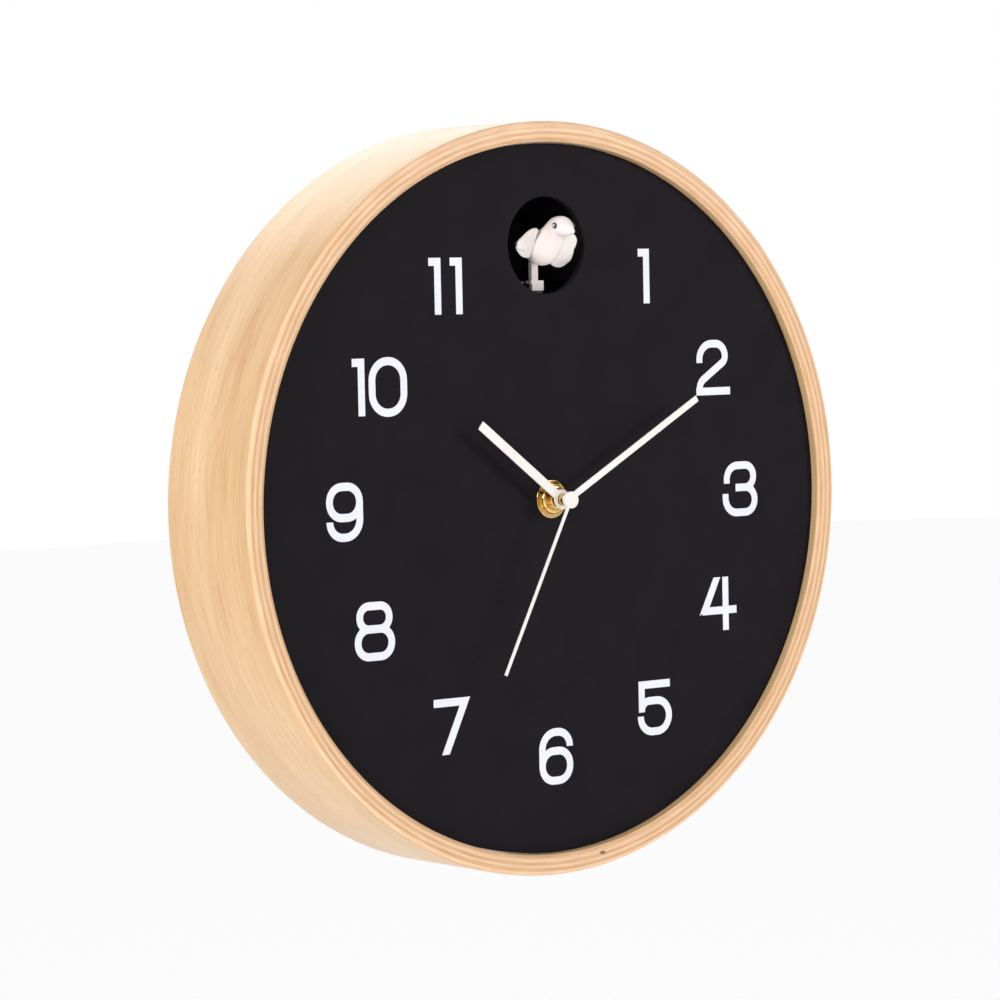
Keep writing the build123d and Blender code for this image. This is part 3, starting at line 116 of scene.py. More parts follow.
# %% White behind, grey in front
# The grade runs along Y, from -1 straight in front of the clock to 1 straight behind it
FRONT_LIGHT = 0.5
BACK_LIGHT = 1.0
GREY_UNTIL = -0.35
WHITE_FROM = 0.25

world = bpy.data.worlds.new("studio_surround")
world.use_nodes = True
surround = world.node_tree
aim = surround.nodes.new("ShaderNodeTexCoord")
parts = surround.nodes.new("ShaderNodeSeparateXYZ")
level = surround.nodes.new("ShaderNodeMapRange")
level.inputs["From Min"].default_value = GREY_UNTIL
level.inputs["From Max"].default_value = WHITE_FROM
level.inputs["To Min"].default_value = FRONT_LIGHT
level.inputs["To Max"].default_value = BACK_LIGHT
surround.links.new(aim.outputs["Generated"], parts.inputs["Vector"])
surround.links.new(parts.outputs["Y"], level.inputs["Value"])
surround.links.new(level.outputs["Result"], surround.nodes["Background"].inputs["Strength"])
surround.nodes["Background"].inputs["Color"].default_value = tone("FFFFFF")
bpy.context.scene.world = world
bpy.context.scene.view_settings.view_transform = "Standard"

# %% [markdown]
# ## Helpers for materials
# Every finish below is a small network of nodes. One helper adds a node with its settings and its links, one
# starts a material from the shader's plain values, one reads colour stops by a factor, and one gives the
# finished material to CAD nodes.


# %% Material helpers
def add(tree, kind, inputs=None, **settings):
    """One node with its settings. An input is a plain value, or another node's output to link from."""
    made = tree.nodes.new(kind)
    for name, value in settings.items():
        setattr(made, name, value)
    for socket, value in (inputs or {}).items():
        if isinstance(value, bpy.types.NodeSocket):
            tree.links.new(value, made.inputs[socket])
        else:
            made.inputs[socket].default_value = value
    return made


def start(name, **values):
    """A material whose shader has these plain values, its node tree and its shader."""
    made = bpy.data.materials.new(name)
    made.use_nodes = True
    shader = made.node_tree.nodes["Principled BSDF"]
    for socket, value in values.items():
        shader.inputs[socket.replace("_", " ")].default_value = value
    return made, made.node_tree, shader


def ramp(tree, factor, stops):
    """Colour stops, each (position, hex), read by a factor."""
    made = add(tree, "ShaderNodeValToRGB", {"Fac": factor})
    while len(made.color_ramp.elements) < len(stops):
        made.color_ramp.elements.new(1.0)
    for element, (position, colour) in zip(made.color_ramp.elements, stops):
        element.position = position
        element.color = tone(colour)
    return made.outputs["Color"]


def wear(*names, finish):
    """Gives CAD nodes their finish."""
    for name in names:
        mesh = nodes[name].data
        mesh.materials.clear()
        mesh.materials.append(finish)


# %% Floor finish: pale seamless paper, with a tooth drawn far coarser than real so that it can show
TOOTH_SCALE = 60.0
paper, tree, shader = start("white_seamless_paper", Roughness=0.9, Emission_Strength=0.2)
shader.inputs["Emission Color"].default_value = tone("FFFFFF")
place = add(tree, "ShaderNodeTexCoord").outputs["Object"]
tooth = add(tree, "ShaderNodeTexNoise", {"Vector": place, "Scale": TOOTH_SCALE, "Detail": 2.0}).outputs["Fac"]
tree.links.new(ramp(tree, tooth, [(0.3, "FAFAFA"), (0.7, "FFFFFF")]), shader.inputs["Base Color"])
floor.data.materials.append(paper)

# %% [markdown]
# ## Birch plywood under clear lacquer
# The hoop is a strip of birch plywood bent into a ring. Round the outside and the inside you see one face
# veneer, with fibres that run round the hoop, pale cream with small darker flecks. On the two edges you
# see the plies on end: alternate light and dark rings, a little over a millimetre each. The pattern is
# therefore laid in the hoop's own coordinates: distance round it, distance across it, and radius.

# %% Birch hoop finish
HOOP_MIDDLE_R = 0.1531
LAP_ANGLE = math.radians(200.5)
FIBRE_LENGTH = 0.030
FIBRE_WIDTH = 0.0007
PLY = 0.00126
PLY_WANDER = 0.0011
# Pattern scales, per metre: round the hoop, across it and through its wall
CLOUD_SCALE = (9, 60, 60)
FLECK_SCALE = (1 / 0.005, 1 / 0.0009, 900)
SPECKLE_SCALE = (70, 70, 1300)

birch, tree, shader = start(
    "birch_plywood_satin_lacquer", Roughness=0.42, Coat_Weight=0.18, Coat_Roughness=0.25
)
place = add(tree, "ShaderNodeTexCoord")
turned = add(tree, "ShaderNodeMapping", {"Vector": place.outputs["Object"], "Rotation": (0, LAP_ANGLE, 0)})
split = add(tree, "ShaderNodeSeparateXYZ", {"Vector": turned.outputs[0]})
angle = add(tree, "ShaderNodeMath", {0: split.outputs["Z"], 1: split.outputs["X"]}, operation="ARCTAN2")
round_way = add(tree, "ShaderNodeMath", {0: angle.outputs[0], 1: HOOP_MIDDLE_R}, operation="MULTIPLY")
flat = add(tree, "ShaderNodeCombineXYZ", {"X": split.outputs["X"], "Z": split.outputs["Z"]})
radius = add(tree, "ShaderNodeVectorMath", {0: flat.outputs[0]}, operation="LENGTH")
hoop_place = add(
    tree, "ShaderNodeCombineXYZ",
    {"X": round_way.outputs[0], "Y": split.outputs["Y"], "Z": radius.outputs["Value"]},
)

fibre_place = add(
    tree, "ShaderNodeMapping",
    {"Vector": hoop_place.outputs[0], "Scale": (1 / FIBRE_LENGTH, 1 / FIBRE_WIDTH, 1 / FIBRE_WIDTH)},
)
fibres = add(
    tree, "ShaderNodeTexNoise",
    {"Vector": fibre_place.outputs[0], "Scale": 1.0, "Detail": 5.0, "Roughness": 0.62},
)
cloud_place = add(tree, "ShaderNodeMapping", {"Vector": hoop_place.outputs[0], "Scale": CLOUD_SCALE})
clouds = add(tree, "ShaderNodeTexNoise", {"Vector": cloud_place.outputs[0], "Scale": 1.0, "Detail": 3.0})
mixed = add(
    tree, "ShaderNodeMix",
    {"Factor": 0.45, "A": fibres.outputs["Fac"], "B": clouds.outputs["Fac"]}, data_type="FLOAT",
)
veneer = ramp(
    tree, mixed.outputs["Result"],
    [(0.30, "AD7F50"), (0.42, "BC9465"), (0.52, "C7A276"), (0.68, "D2B389")],
)

# Flecks: short dark dashes along the grain, about 5 mm by 0.9 mm. Real ones are finer, and these are drawn
# coarse enough to show.
fleck_place = add(tree, "ShaderNodeMapping", {"Vector": hoop_place.outputs[0], "Scale": FLECK_SCALE})
fleck_noise = add(tree, "ShaderNodeTexNoise", {"Vector": fleck_place.outputs[0], "Scale": 1.0, "Detail": 1.0})
flecks = add(
    tree, "ShaderNodeMapRange",
    {"Value": fleck_noise.outputs["Fac"], "From Min": 0.66, "From Max": 0.74, "To Min": 0.0, "To Max": 0.42},
)
flecked = add(
    tree, "ShaderNodeMix",
    {"Factor": flecks.outputs["Result"], "A": veneer, "B": tone("A8743F")}, data_type="RGBA",
)

# Plies on the edges: a smooth stripe from the radius, made slightly uneven by noise
wander = add(
    tree, "ShaderNodeMath",
    {0: clouds.outputs["Fac"], 1: PLY_WANDER, 2: radius.outputs["Value"]}, operation="MULTIPLY_ADD",
)
phase = add(tree, "ShaderNodeMath", {0: wander.outputs[0], 1: math.pi / PLY}, operation="MULTIPLY")
stripe = add(tree, "ShaderNodeMath", {0: phase.outputs[0]}, operation="SINE")
ply_tone = add(
    tree, "ShaderNodeMapRange",
    {"Value": stripe.outputs[0], "From Min": -0.55, "From Max": 0.55}, interpolation_type="SMOOTHSTEP",
)
speckle_place = add(tree, "ShaderNodeMapping", {"Vector": hoop_place.outputs[0], "Scale": SPECKLE_SCALE})
speckle = add(tree, "ShaderNodeTexNoise", {"Vector": speckle_place.outputs[0], "Scale": 1.0, "Detail": 2.0})
ply_mix = add(
    tree, "ShaderNodeMix",
    {"Factor": 0.72, "A": ply_tone.outputs["Result"], "B": speckle.outputs["Fac"]}, data_type="FLOAT",
)
plies = ramp(
    tree, ply_mix.outputs["Result"],
    [(0.25, "D3A06F"), (0.45, "E0B285"), (0.62, "EAC198"), (0.85, "F3D3AF")],
)

facing = add(tree, "ShaderNodeSeparateXYZ", {"Vector": place.outputs["Normal"]})
edge_on = add(tree, "ShaderNodeMath", {0: facing.outputs["Y"]}, operation="ABSOLUTE")
on_edge = add(
    tree, "ShaderNodeMapRange",
    {"Value": edge_on.outputs[0], "From Min": 0.25, "From Max": 0.55}, interpolation_type="SMOOTHSTEP",
)
wood = add(
    tree, "ShaderNodeMix",
    {"Factor": on_edge.outputs["Result"], "A": flecked.outputs["Result"], "B": plies}, data_type="RGBA",
)

# One pin knot on the front edge, low on the hoop: 2 mm high, and stretched to 4.4 mm along the edge
KNOT_AT = (0.0205, -0.0567, -0.1505)
KNOT_STRETCH = (0.45, 0.3, 1.0)
KNOT_RIM = 0.0010
KNOT_CORE = 0.0004
from_knot = add(tree, "ShaderNodeVectorMath", {0: place.outputs["Object"], 1: KNOT_AT}, operation="SUBTRACT")
knot_shape = add(tree, "ShaderNodeMapping", {"Vector": from_knot.outputs[0], "Scale": KNOT_STRETCH})
to_knot = add(tree, "ShaderNodeVectorMath", {0: knot_shape.outputs[0]}, operation="LENGTH")
knot = add(
    tree, "ShaderNodeMapRange",
    {"Value": to_knot.outputs["Value"], "From Min": KNOT_RIM, "From Max": KNOT_CORE, "To Min": 0.0,
     "To Max": 0.9},
)
knotted = add(
    tree, "ShaderNodeMix",
    {"Factor": knot.outputs["Result"], "A": wood.outputs["Result"], "B": tone("5E3524")}, data_type="RGBA",
)
tree.links.new(knotted.outputs["Result"], shader.inputs["Base Color"])
relief = add(
    tree, "ShaderNodeBump", {"Height": fibres.outputs["Fac"], "Strength": 0.18, "Distance": 0.0002}
)
tree.links.new(relief.outputs["Normal"], shader.inputs["Normal"])
print("made", birch.name)

# %% [markdown]
# ## Painted, printed and moulded finishes
# The dial is board sprayed with a dead-matt black that has a hint of violet. Its numerals are screen-printed
# ink, which is flat and slightly cool. The hands are stamped aluminium under satin white paint. The
# movement, the cuckoo module and the tunnel are ABS from textured moulds: the eye sees a fine, even grain
# that breaks up the gloss.


# %% Fine surface grain, shared by the painted and moulded finishes
DRIFT_SCALE = 55.0
GRAIN_DEPTH = 0.0001


def grained(name, base, second, grain_mm, strength, **values):
    """A coat whose colour drifts a little between two tones and whose surface has an even grain."""
    made, net, coat = start(name, **values)
    spot = add(net, "ShaderNodeTexCoord").outputs["Object"]
    drift = add(net, "ShaderNodeTexNoise", {"Vector": spot, "Scale": DRIFT_SCALE, "Detail": 3.0})
    colours = ramp(net, drift.outputs["Fac"], [(0.25, base), (0.75, second)])
    net.links.new(colours, coat.inputs["Base Color"])
    grain = add(net, "ShaderNodeTexNoise", {"Vector": spot, "Scale": 1000 / grain_mm, "Detail": 2.0})
    bump = add(
        net, "ShaderNodeBump", {"Height": grain.outputs["Fac"], "Strength": strength, "Distance": GRAIN_DEPTH}
    )
    net.links.new(bump.outputs["Normal"], coat.inputs["Normal"])
    gloss = add(
        net, "ShaderNodeMapRange",
        {"Value": grain.outputs["Fac"], "To Min": values["Roughness"] - 0.05,
         "To Max": values["Roughness"] + 0.07},
    )
    net.links.new(gloss.outputs["Result"], coat.inputs["Roughness"])
    return made


dial_paint = grained(
    "matt_black_spray_on_board", "161318", "1C181E", 0.6, 0.3, Roughness=0.6, Specular_IOR_Level=0.08
)
ink = grained("screen_printed_white_ink", "E6E8F0", "F1F2F8", 0.5, 0.2, Roughness=0.55)
hand_paint = grained("satin_white_paint_on_aluminium", "EFEAE4", "F7F3EE", 0.8, 0.12, Roughness=0.32)
black_abs = grained("black_abs_spark_texture", "151516", "1C1C1E", 0.5, 0.6, Roughness=0.48)
tunnel_black = grained("dead_black_abs_tunnel", "0C0C0E", "121214", 0.7, 0.5, Roughness=0.75)
nylon = grained(
    "natural_acetal_gear", "DCD8CC", "E8E4DA", 0.9, 0.15, Roughness=0.38, Subsurface_Weight=0.1,
    Subsurface_Scale=0.002,
)
bird_plastic = grained(
    "bird_polystyrene_satin_white", "F0E4E1", "F8EEEA", 0.9, 0.12, Roughness=0.34, Subsurface_Weight=0.12,
    Subsurface_Scale=0.003,
)
rubber = grained("nitrile_rubber", "19191A", "222223", 0.4, 0.5, Roughness=0.72)
ferrite = grained("sintered_ferrite", "2A2A2C", "363638", 0.5, 0.6, Roughness=0.6)
print("made", [m.name for m in (dial_paint, ink, hand_paint, black_abs, nylon, bird_plastic)])

# %% [markdown]
# ## Metals
# Turned brass shows hair-fine rings about its own axis, which here is Y. Zinc-plated steel shows a bright,
# slightly blotchy grain with a bluish cast. Nickel plate is smoother and warmer. A metal keeps the default
# IOR, and its colour is its reflection.


# %% Turned brass, and plated steels
SCRATCH_MM = 0.25
SCRATCH_DEPTH = 0.00005
BRASS_RING_SCALE = 6000.0


def plated(name, base, second, roughness, blotch_mm):
    """Plate on pressed metal: blotches in the tone, and a fine directional grain in the gloss."""
    made, net, coat = start(name, Metallic=1.0, Roughness=roughness)
    spot = add(net, "ShaderNodeTexCoord").outputs["Object"]
    blotch = add(net, "ShaderNodeTexNoise", {"Vector": spot, "Scale": 1000 / blotch_mm, "Detail": 4.0})
    colours = ramp(net, blotch.outputs["Fac"], [(0.35, base), (0.65, second)])
    net.links.new(colours, coat.inputs["Base Color"])
    drawn = add(net, "ShaderNodeMapping", {"Vector": spot, "Scale": (60, 60, 1000 / SCRATCH_MM)})
    lines = add(net, "ShaderNodeTexNoise", {"Vector": drawn.outputs[0], "Scale": 1.0, "Detail": 3.0})
    gloss = add(
        net, "ShaderNodeMapRange",
        {"Value": lines.outputs["Fac"], "To Min": roughness - 0.08, "To Max": roughness + 0.12},
    )
    net.links.new(gloss.outputs["Result"], coat.inputs["Roughness"])
    bump = add(
        net, "ShaderNodeBump", {"Height": lines.outputs["Fac"], "Strength": 0.08, "Distance": SCRATCH_DEPTH}
    )
    net.links.new(bump.outputs["Normal"], coat.inputs["Normal"])
    return made


zinc = plated("bright_zinc_plated_steel", "A9ADB2", "C6C8C8", 0.32, 3.0)
nickel = plated("nickel_plate", "B9B4A6", "D3CEC0", 0.2, 5.0)
bright_steel = plated("ground_silver_steel", "A8A8AA", "C0C0C2", 0.24, 2.0)
lamination = plated("silicon_steel_lamination", "6E7276", "85898C", 0.42, 4.0)

brass, tree, shader = start("turned_brass", Metallic=1.0, Roughness=0.14)
place = add(tree, "ShaderNodeTexCoord").outputs["Object"]
tarnish = add(tree, "ShaderNodeTexNoise", {"Vector": place, "Scale": 400.0, "Detail": 4.0}).outputs["Fac"]
tree.links.new(ramp(tree, tarnish, [(0.3, "CFA056"), (0.7, "EFD08C")]), shader.inputs["Base Color"])
across = add(tree, "ShaderNodeMapping", {"Vector": place, "Scale": (1, 0, 1)})
from_axis = add(tree, "ShaderNodeVectorMath", {0: across.outputs[0]}, operation="LENGTH")
rings = add(
    tree, "ShaderNodeTexNoise", {"W": from_axis.outputs["Value"], "Scale": BRASS_RING_SCALE, "Detail": 2.0},
    noise_dimensions="1D",
)
bump = add(
    tree, "ShaderNodeBump", {"Height": rings.outputs["Fac"], "Strength": 0.12, "Distance": SCRATCH_DEPTH}
)
tree.links.new(bump.outputs["Normal"], shader.inputs["Normal"])
print("made", [m.name for m in (zinc, nickel, bright_steel, lamination, brass)])

# %% [markdown]
# ## Electrical finishes
# Enamelled copper wire is wound round its bobbin, so its turns lie across the winding's length, and the grooves
# between turns are painted darker as painted shade. A circuit board is glass-fibre laminate under green solder
# mask, with the weave just visible. A cell has a bright can, seen at its two ends, in a printed jacket with a
# coloured band.

# %% Copper winding: the turns are 0.69 mm apart, wider than real wire so that they show
STRIPE_SCALE = 1.0 / 0.00035 / 6.283

copper, tree, shader = start("enamelled_copper_winding", Metallic=1.0, Roughness=0.28)
place = add(tree, "ShaderNodeTexCoord").outputs["Object"]
turns = add(
    tree, "ShaderNodeTexWave", {"Vector": place, "Scale": STRIPE_SCALE, "Distortion": 0.3}, bands_direction="X"
)
# The colour follows the same waves as the bump: the dark brown in the grooves between turns is painted shade,
# and the bright copper on the turns is the wire's own colour.
turns_and_groove_shade = ramp(tree, turns.outputs["Fac"], [(0.1, "8A3F1E"), (0.7, "D07A48")])
tree.links.new(turns_and_groove_shade, shader.inputs["Base Color"])
bump = add(tree, "ShaderNodeBump", {"Height": turns.outputs["Fac"], "Strength": 0.5, "Distance": 0.0001})
tree.links.new(bump.outputs["Normal"], shader.inputs["Normal"])

# %% Circuit board
WEAVE = 0.0008
TRACK_SCALE = 260.0

board, tree, shader = start("green_solder_mask_board", Roughness=0.35, Coat_Weight=0.3, Coat_Roughness=0.15)
place = add(tree, "ShaderNodeTexCoord").outputs["Object"]
weave = add(tree, "ShaderNodeTexChecker", {"Vector": place, "Scale": 1 / WEAVE})
tracks = add(
    tree, "ShaderNodeTexBrick",
    {"Vector": place, "Scale": TRACK_SCALE, "Mortar Size": 0.06, "Color1": (0, 0, 0, 1),
     "Color2": (0, 0, 0, 1), "Mortar": (1, 1, 1, 1)},
)
laminate = add(
    tree, "ShaderNodeMix", {"Factor": weave.outputs["Fac"], "A": tone("0E4526"), "B": tone("13502D")},
    data_type="RGBA",
)
tracked = add(
    tree, "ShaderNodeMix",
    {"Factor": tracks.outputs["Fac"], "A": laminate.outputs["Result"], "B": tone("2C7A49")}, data_type="RGBA",
)
tree.links.new(tracked.outputs["Result"], shader.inputs["Base Color"])


# %% Cell jackets: the band is a share of the cell's own length, which lies along X
def jacket(name, node, main, band):
    """A printed steel can: bright ends, a dark jacket and one coloured band."""
    low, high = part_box(node)
    length = high[0] - low[0]
    made, net, coat = start(name, Roughness=0.3, Coat_Weight=0.5, Coat_Roughness=0.1)
    spot = add(net, "ShaderNodeTexCoord")
    cut = add(net, "ShaderNodeSeparateXYZ", {"Vector": spot.outputs["Object"]})
    share = add(
        net, "ShaderNodeMapRange", {"Value": cut.outputs["X"], "From Min": low[0], "From Max": high[0]}
    )
    colours = ramp(net, share.outputs["Result"], [(0.0, main), (0.25, band), (0.3, main)])
    colours.node.color_ramp.interpolation = "CONSTANT"
    out = add(net, "ShaderNodeSeparateXYZ", {"Vector": spot.outputs["Normal"]})
    end_on = add(net, "ShaderNodeMath", {0: out.outputs["X"]}, operation="ABSOLUTE")
    ends = add(net, "ShaderNodeMath", {0: end_on.outputs[0], 1: 0.7}, operation="GREATER_THAN")
    dressed = add(
        net, "ShaderNodeMix", {"Factor": ends.outputs[0], "A": colours, "B": tone("C4C2BA")}, data_type="RGBA"
    )
    net.links.new(dressed.outputs["Result"], coat.inputs["Base Color"])
    net.links.new(ends.outputs[0], coat.inputs["Metallic"])
    print(name, "length", round(length * 1000, 1), "mm")
    return made


aa_jacket = jacket("aa_cell_jacket", "aa_cell", "16181C", "B98D3E")
c_left_jacket = jacket("left_c_cell_jacket", "c_cell_left", "16181C", "B98D3E")
c_right_jacket = jacket("right_c_cell_jacket", "c_cell_right", "16181C", "B98D3E")

# %% Give the CAD nodes their finishes
wear("dial_plate", finish=dial_paint)
wear("dial_numerals", finish=ink)
wear("hour_hand", "minute_hand", "second_hand", finish=hand_paint)
wear(
    "movement_case", "movement_cover", "setting_knob", "cuckoo_case", "cuckoo_cover", "gear_plate",
    "bird_carriage", finish=black_abs,
)
wear("bird_tunnel", finish=tunnel_black)
wear(
    "coil_bobbin", "fifth_wheel", "second_wheel", "third_wheel", "centre_wheel", "minute_wheel",
    "motor_pinion", "reduction_gear", "rack_drive_gear", finish=nylon,
)
wear("bird_post", "volume_slider", "demo_button", finish=bird_plastic)
wear("rubber_washer", finish=rubber)
wear("rotor", "speaker", finish=ferrite)
wear(
    "dial_brackets", "wood_screws", "hanger_bracket", "cover_screws", "module_screws", finish=zinc,
)
wear("quartz_crystal", "clock_contacts", "cell_contacts", "cuckoo_motor", finish=nickel)
wear("gear_shafts", "guide_rods", "wing_pins", "wing_push_rod", finish=bright_steel)
wear("stator", "motor_armature", finish=lamination)
wear("threaded_bush", "brass_washer", "dial_nut", "minute_pipe", "hour_wheel", finish=brass)
wear("drive_coil", finish=copper)
wear("clock_circuit_board", "sound_board", "switch_board", finish=board)
wear("aa_cell", finish=aa_jacket)
wear("c_cell_left", finish=c_left_jacket)
wear("c_cell_right", finish=c_right_jacket)

# %% [markdown]
# ## Tools for modelling
# Everything new is modelled with the same operators as by hand. An operator acts on whatever is selected, so
# each step first clears the selection and then picks vertices, edges or faces by where they are.


# %% Modelling helpers
SHARP_ANGLE = 40


def clear():
    """Leaves edit mode and deselects everything."""
    if bpy.context.object and bpy.context.object.mode != "OBJECT":
        bpy.ops.object.mode_set(mode="OBJECT")
    bpy.ops.object.select_all(action="DESELECT")


def middle(part):
    """The middle of a vertex, an edge or a face."""
    if isinstance(part, bmesh.types.BMVert):
        return part.co
    return sum((v.co for v in part.verts), Vector()) / len(part.verts)


def pick(kind, test):
    """Selects, in edit mode, only the verts, edges or faces whose middle passes the test."""
    modes = {"verts": "VERT", "edges": "EDGE", "faces": "FACE"}
    bpy.ops.mesh.select_mode(type=modes[kind])
    bpy.ops.mesh.select_all(action="DESELECT")
    mesh = bmesh.from_edit_mesh(bpy.context.object.data)
    chosen = [part for part in getattr(mesh, kind) if test(middle(part))]
    for part in chosen:
        part.select_set(True)
    mesh.select_flush_mode()
    bmesh.update_edit_mesh(bpy.context.object.data)


def finish_mesh(piece, material, smooth=None):
    """Leaves edit mode, applies the modifiers and the place, and gives the piece its material."""
    clear()
    piece.select_set(True)
    bpy.context.view_layer.objects.active = piece
    for modifier in list(piece.modifiers):
        bpy.ops.object.modifier_apply(modifier=modifier.name)
    bpy.ops.object.transform_apply(location=True, rotation=True, scale=True)
    if smooth is None:
        bpy.ops.object.shade_smooth()
    else:
        bpy.ops.object.shade_smooth_by_angle(angle=math.radians(smooth))
    piece.data.materials.clear()
    piece.data.materials.append(material)
    if not piece.data.polygons:
        raise ValueError(f"{piece.name} came out empty")
    size = [round(s * 1000, 1) for s in piece.dimensions]
    print(piece.name, "faces", len(piece.data.polygons), "size mm", size)


# %% [markdown]
# ## The hoop
# A real hoop is one long strip bent round a drum, so the natural way to model it is a section swept round an
# axis. The section is a rectangle as wide as the wall and as deep as the case. Its front corners are
# rounded more than its back ones, as a router leaves them.

# %% Sweep the section round the clock's axis
low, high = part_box("wood_frame")
OUTER_R = high[0]
WALL = 0.0088
FRONT_ROUND = 0.0022
BACK_ROUND = 0.0012
SWEEP_STEPS = 240
SEAM = 0.00002
half_way = (low[1] + high[1]) / 2

clear()
bpy.ops.mesh.primitive_plane_add(size=1, location=(OUTER_R - WALL / 2, half_way, 0))
hoop = bpy.context.object
hoop.name = "birch_hoop"
hoop.scale = (WALL, high[1] - low[1], 1)
bpy.ops.object.transform_apply(location=True, rotation=True, scale=True)
bpy.ops.object.mode_set(mode="EDIT")
pick("verts", lambda at: at.y < half_way)
bpy.ops.mesh.bevel(offset=FRONT_ROUND, segments=7, affect="VERTICES")
pick("verts", lambda at: at.y > high[1] - 0.0001)
bpy.ops.mesh.bevel(offset=BACK_ROUND, segments=4, affect="VERTICES")
bpy.ops.mesh.select_all(action="SELECT")
bpy.ops.mesh.spin(steps=SWEEP_STEPS, angle=math.tau, center=(0, 0, 0), axis=(0, 1, 0))
bpy.ops.mesh.select_all(action="SELECT")
bpy.ops.mesh.remove_doubles(threshold=SEAM)
bpy.ops.mesh.delete_loose()
bpy.ops.mesh.select_all(action="SELECT")
bpy.ops.mesh.normals_make_consistent(inside=False)
finish_mesh(hoop, birch, smooth=SHARP_ANGLE)
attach(hoop, "clock_case")
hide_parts("wood_frame")

# %% [markdown]
# ## The cuckoo
# The bird is a small moulding: a plump body, a big round head, a short bill that narrows to its tip and a
# flat tail. By hand you would draw one ring and pull it from the tail to the bill, resizing it at each stop.
# That is what this cell does. Each stop gives how far the ring is pulled, how high its middle is, and how
# wide and tall it is. A subdivision surface then rounds it.

# %% Pull a ring from tail to bill
# y, middle z, half width, half height, all in millimetres
STOPS = [
    (-32.9, 107.3, 1.9, 0.35),
    (-33.6, 107.3, 2.7, 0.8),
    (-37.0, 106.9, 3.3, 1.5),
    (-40.2, 106.0, 4.4, 3.4),
    (-43.0, 105.0, 5.5, 5.6),
    (-47.0, 104.6, 6.3, 7.3),
    (-51.5, 105.2, 6.5, 7.9),
    (-55.0, 107.0, 6.0, 8.2),
    (-57.8, 109.8, 5.3, 7.9),
    (-59.8, 111.4, 5.2, 6.5),
    (-61.2, 112.7, 5.3, 5.3),
    (-62.8, 113.6, 5.1, 4.4),
    (-64.4, 113.5, 4.7, 4.1),
    (-66.0, 113.0, 3.8, 3.4),
    (-67.4, 112.5, 2.8, 2.8),
    (-68.6, 112.1, 1.9, 2.1),
    (-69.6, 111.6, 1.15, 1.4),
    (-70.3, 111.3, 0.75, 0.9),
    (-70.7, 111.2, 0.45, 0.6),
]


def pull_ring(name, stops, sides):
    """A closed shell made by pulling one ring along -Y through the stops, given in millimetres."""
    clear()
    y, z, half_x, half_z = (v / 1000 for v in stops[0])
    bpy.ops.mesh.primitive_circle_add(
        vertices=sides, radius=1.0, fill_type="NGON", location=(0, y, z), rotation=(math.pi / 2, 0, 0)
    )
    made = bpy.context.object
    made.name = name
    made.scale = (half_x, half_z, 1)
    bpy.ops.object.transform_apply(location=True, rotation=True, scale=True)
    bpy.ops.object.mode_set(mode="EDIT")
    bpy.ops.mesh.select_all(action="SELECT")
    for before, after in zip(stops, stops[1:]):
        step = [(after[i] - before[i]) / 1000 for i in (0, 1)]
        grow = (after[2] / before[2], 1, after[3] / before[3])
        centre = (0, after[0] / 1000, after[1] / 1000)
        bpy.ops.mesh.extrude_region_move(TRANSFORM_OT_translate={"value": (0, step[0], step[1])})
        bpy.ops.transform.resize(value=grow, center_override=centre)
    bpy.ops.mesh.select_all(action="SELECT")
    bpy.ops.mesh.normals_make_consistent(inside=False)
    return made


bird = pull_ring("bird_shell", STOPS, 16)

# The chin: the lowest points under the bill are levelled, which leaves a flat ledge above the breast
CHIN_Z = 0.1095
CHIN_Y = -0.066
CHIN_BACK = -0.0628
CHIN_REACH = 0.0006
CHIN_SHAPE = (1.12, 1, 0.15)
pick("verts", lambda at: at.y < CHIN_BACK and at.z < CHIN_Z + CHIN_REACH)
bpy.ops.transform.resize(value=CHIN_SHAPE, center_override=(0, CHIN_Y, CHIN_Z))

# The neck: the sides are pinched where the head meets the breast
NECK_Y = (-0.0608, -0.0545)
NECK_Z = (0.1085, 0.1125)
NECK_X = 0.002
NECK_PINCH = 0.0006


def on_neck(at, side):
    """Whether a point lies on this side of the neck."""
    return NECK_Y[0] < at.y < NECK_Y[1] and NECK_Z[0] < at.z < NECK_Z[1] and side * at.x > NECK_X


for side in (-1, 1):
    pick("verts", lambda at: on_neck(at, side))
    bpy.ops.transform.translate(value=(-side * NECK_PINCH, 0, 0))

subdivide = bird.modifiers.new("round", "SUBSURF")
subdivide.levels = subdivide.render_levels = 2
finish_mesh(bird, bird_plastic)
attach(bird, "bird")
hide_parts("bird_body")

# %% [markdown]
# ## Eyes
# An eye is a dark ring round a pale dot. Each starts as a ball pressed flat. The faces in the middle of its
# outward side are set back a tenth of a millimetre and left in the bird's white.

# %% Two bead eyes
bead, tree, shader = start("polished_black_bead", Roughness=0.15, Coat_Weight=0.5, Coat_Roughness=0.05)
place = add(tree, "ShaderNodeTexCoord").outputs["Object"]
drift = add(tree, "ShaderNodeTexNoise", {"Vector": place, "Scale": 900.0}).outputs["Fac"]
tree.links.new(ramp(tree, drift, [(0.3, "2B2730"), (0.7, "3A3540")]), shader.inputs["Base Color"])

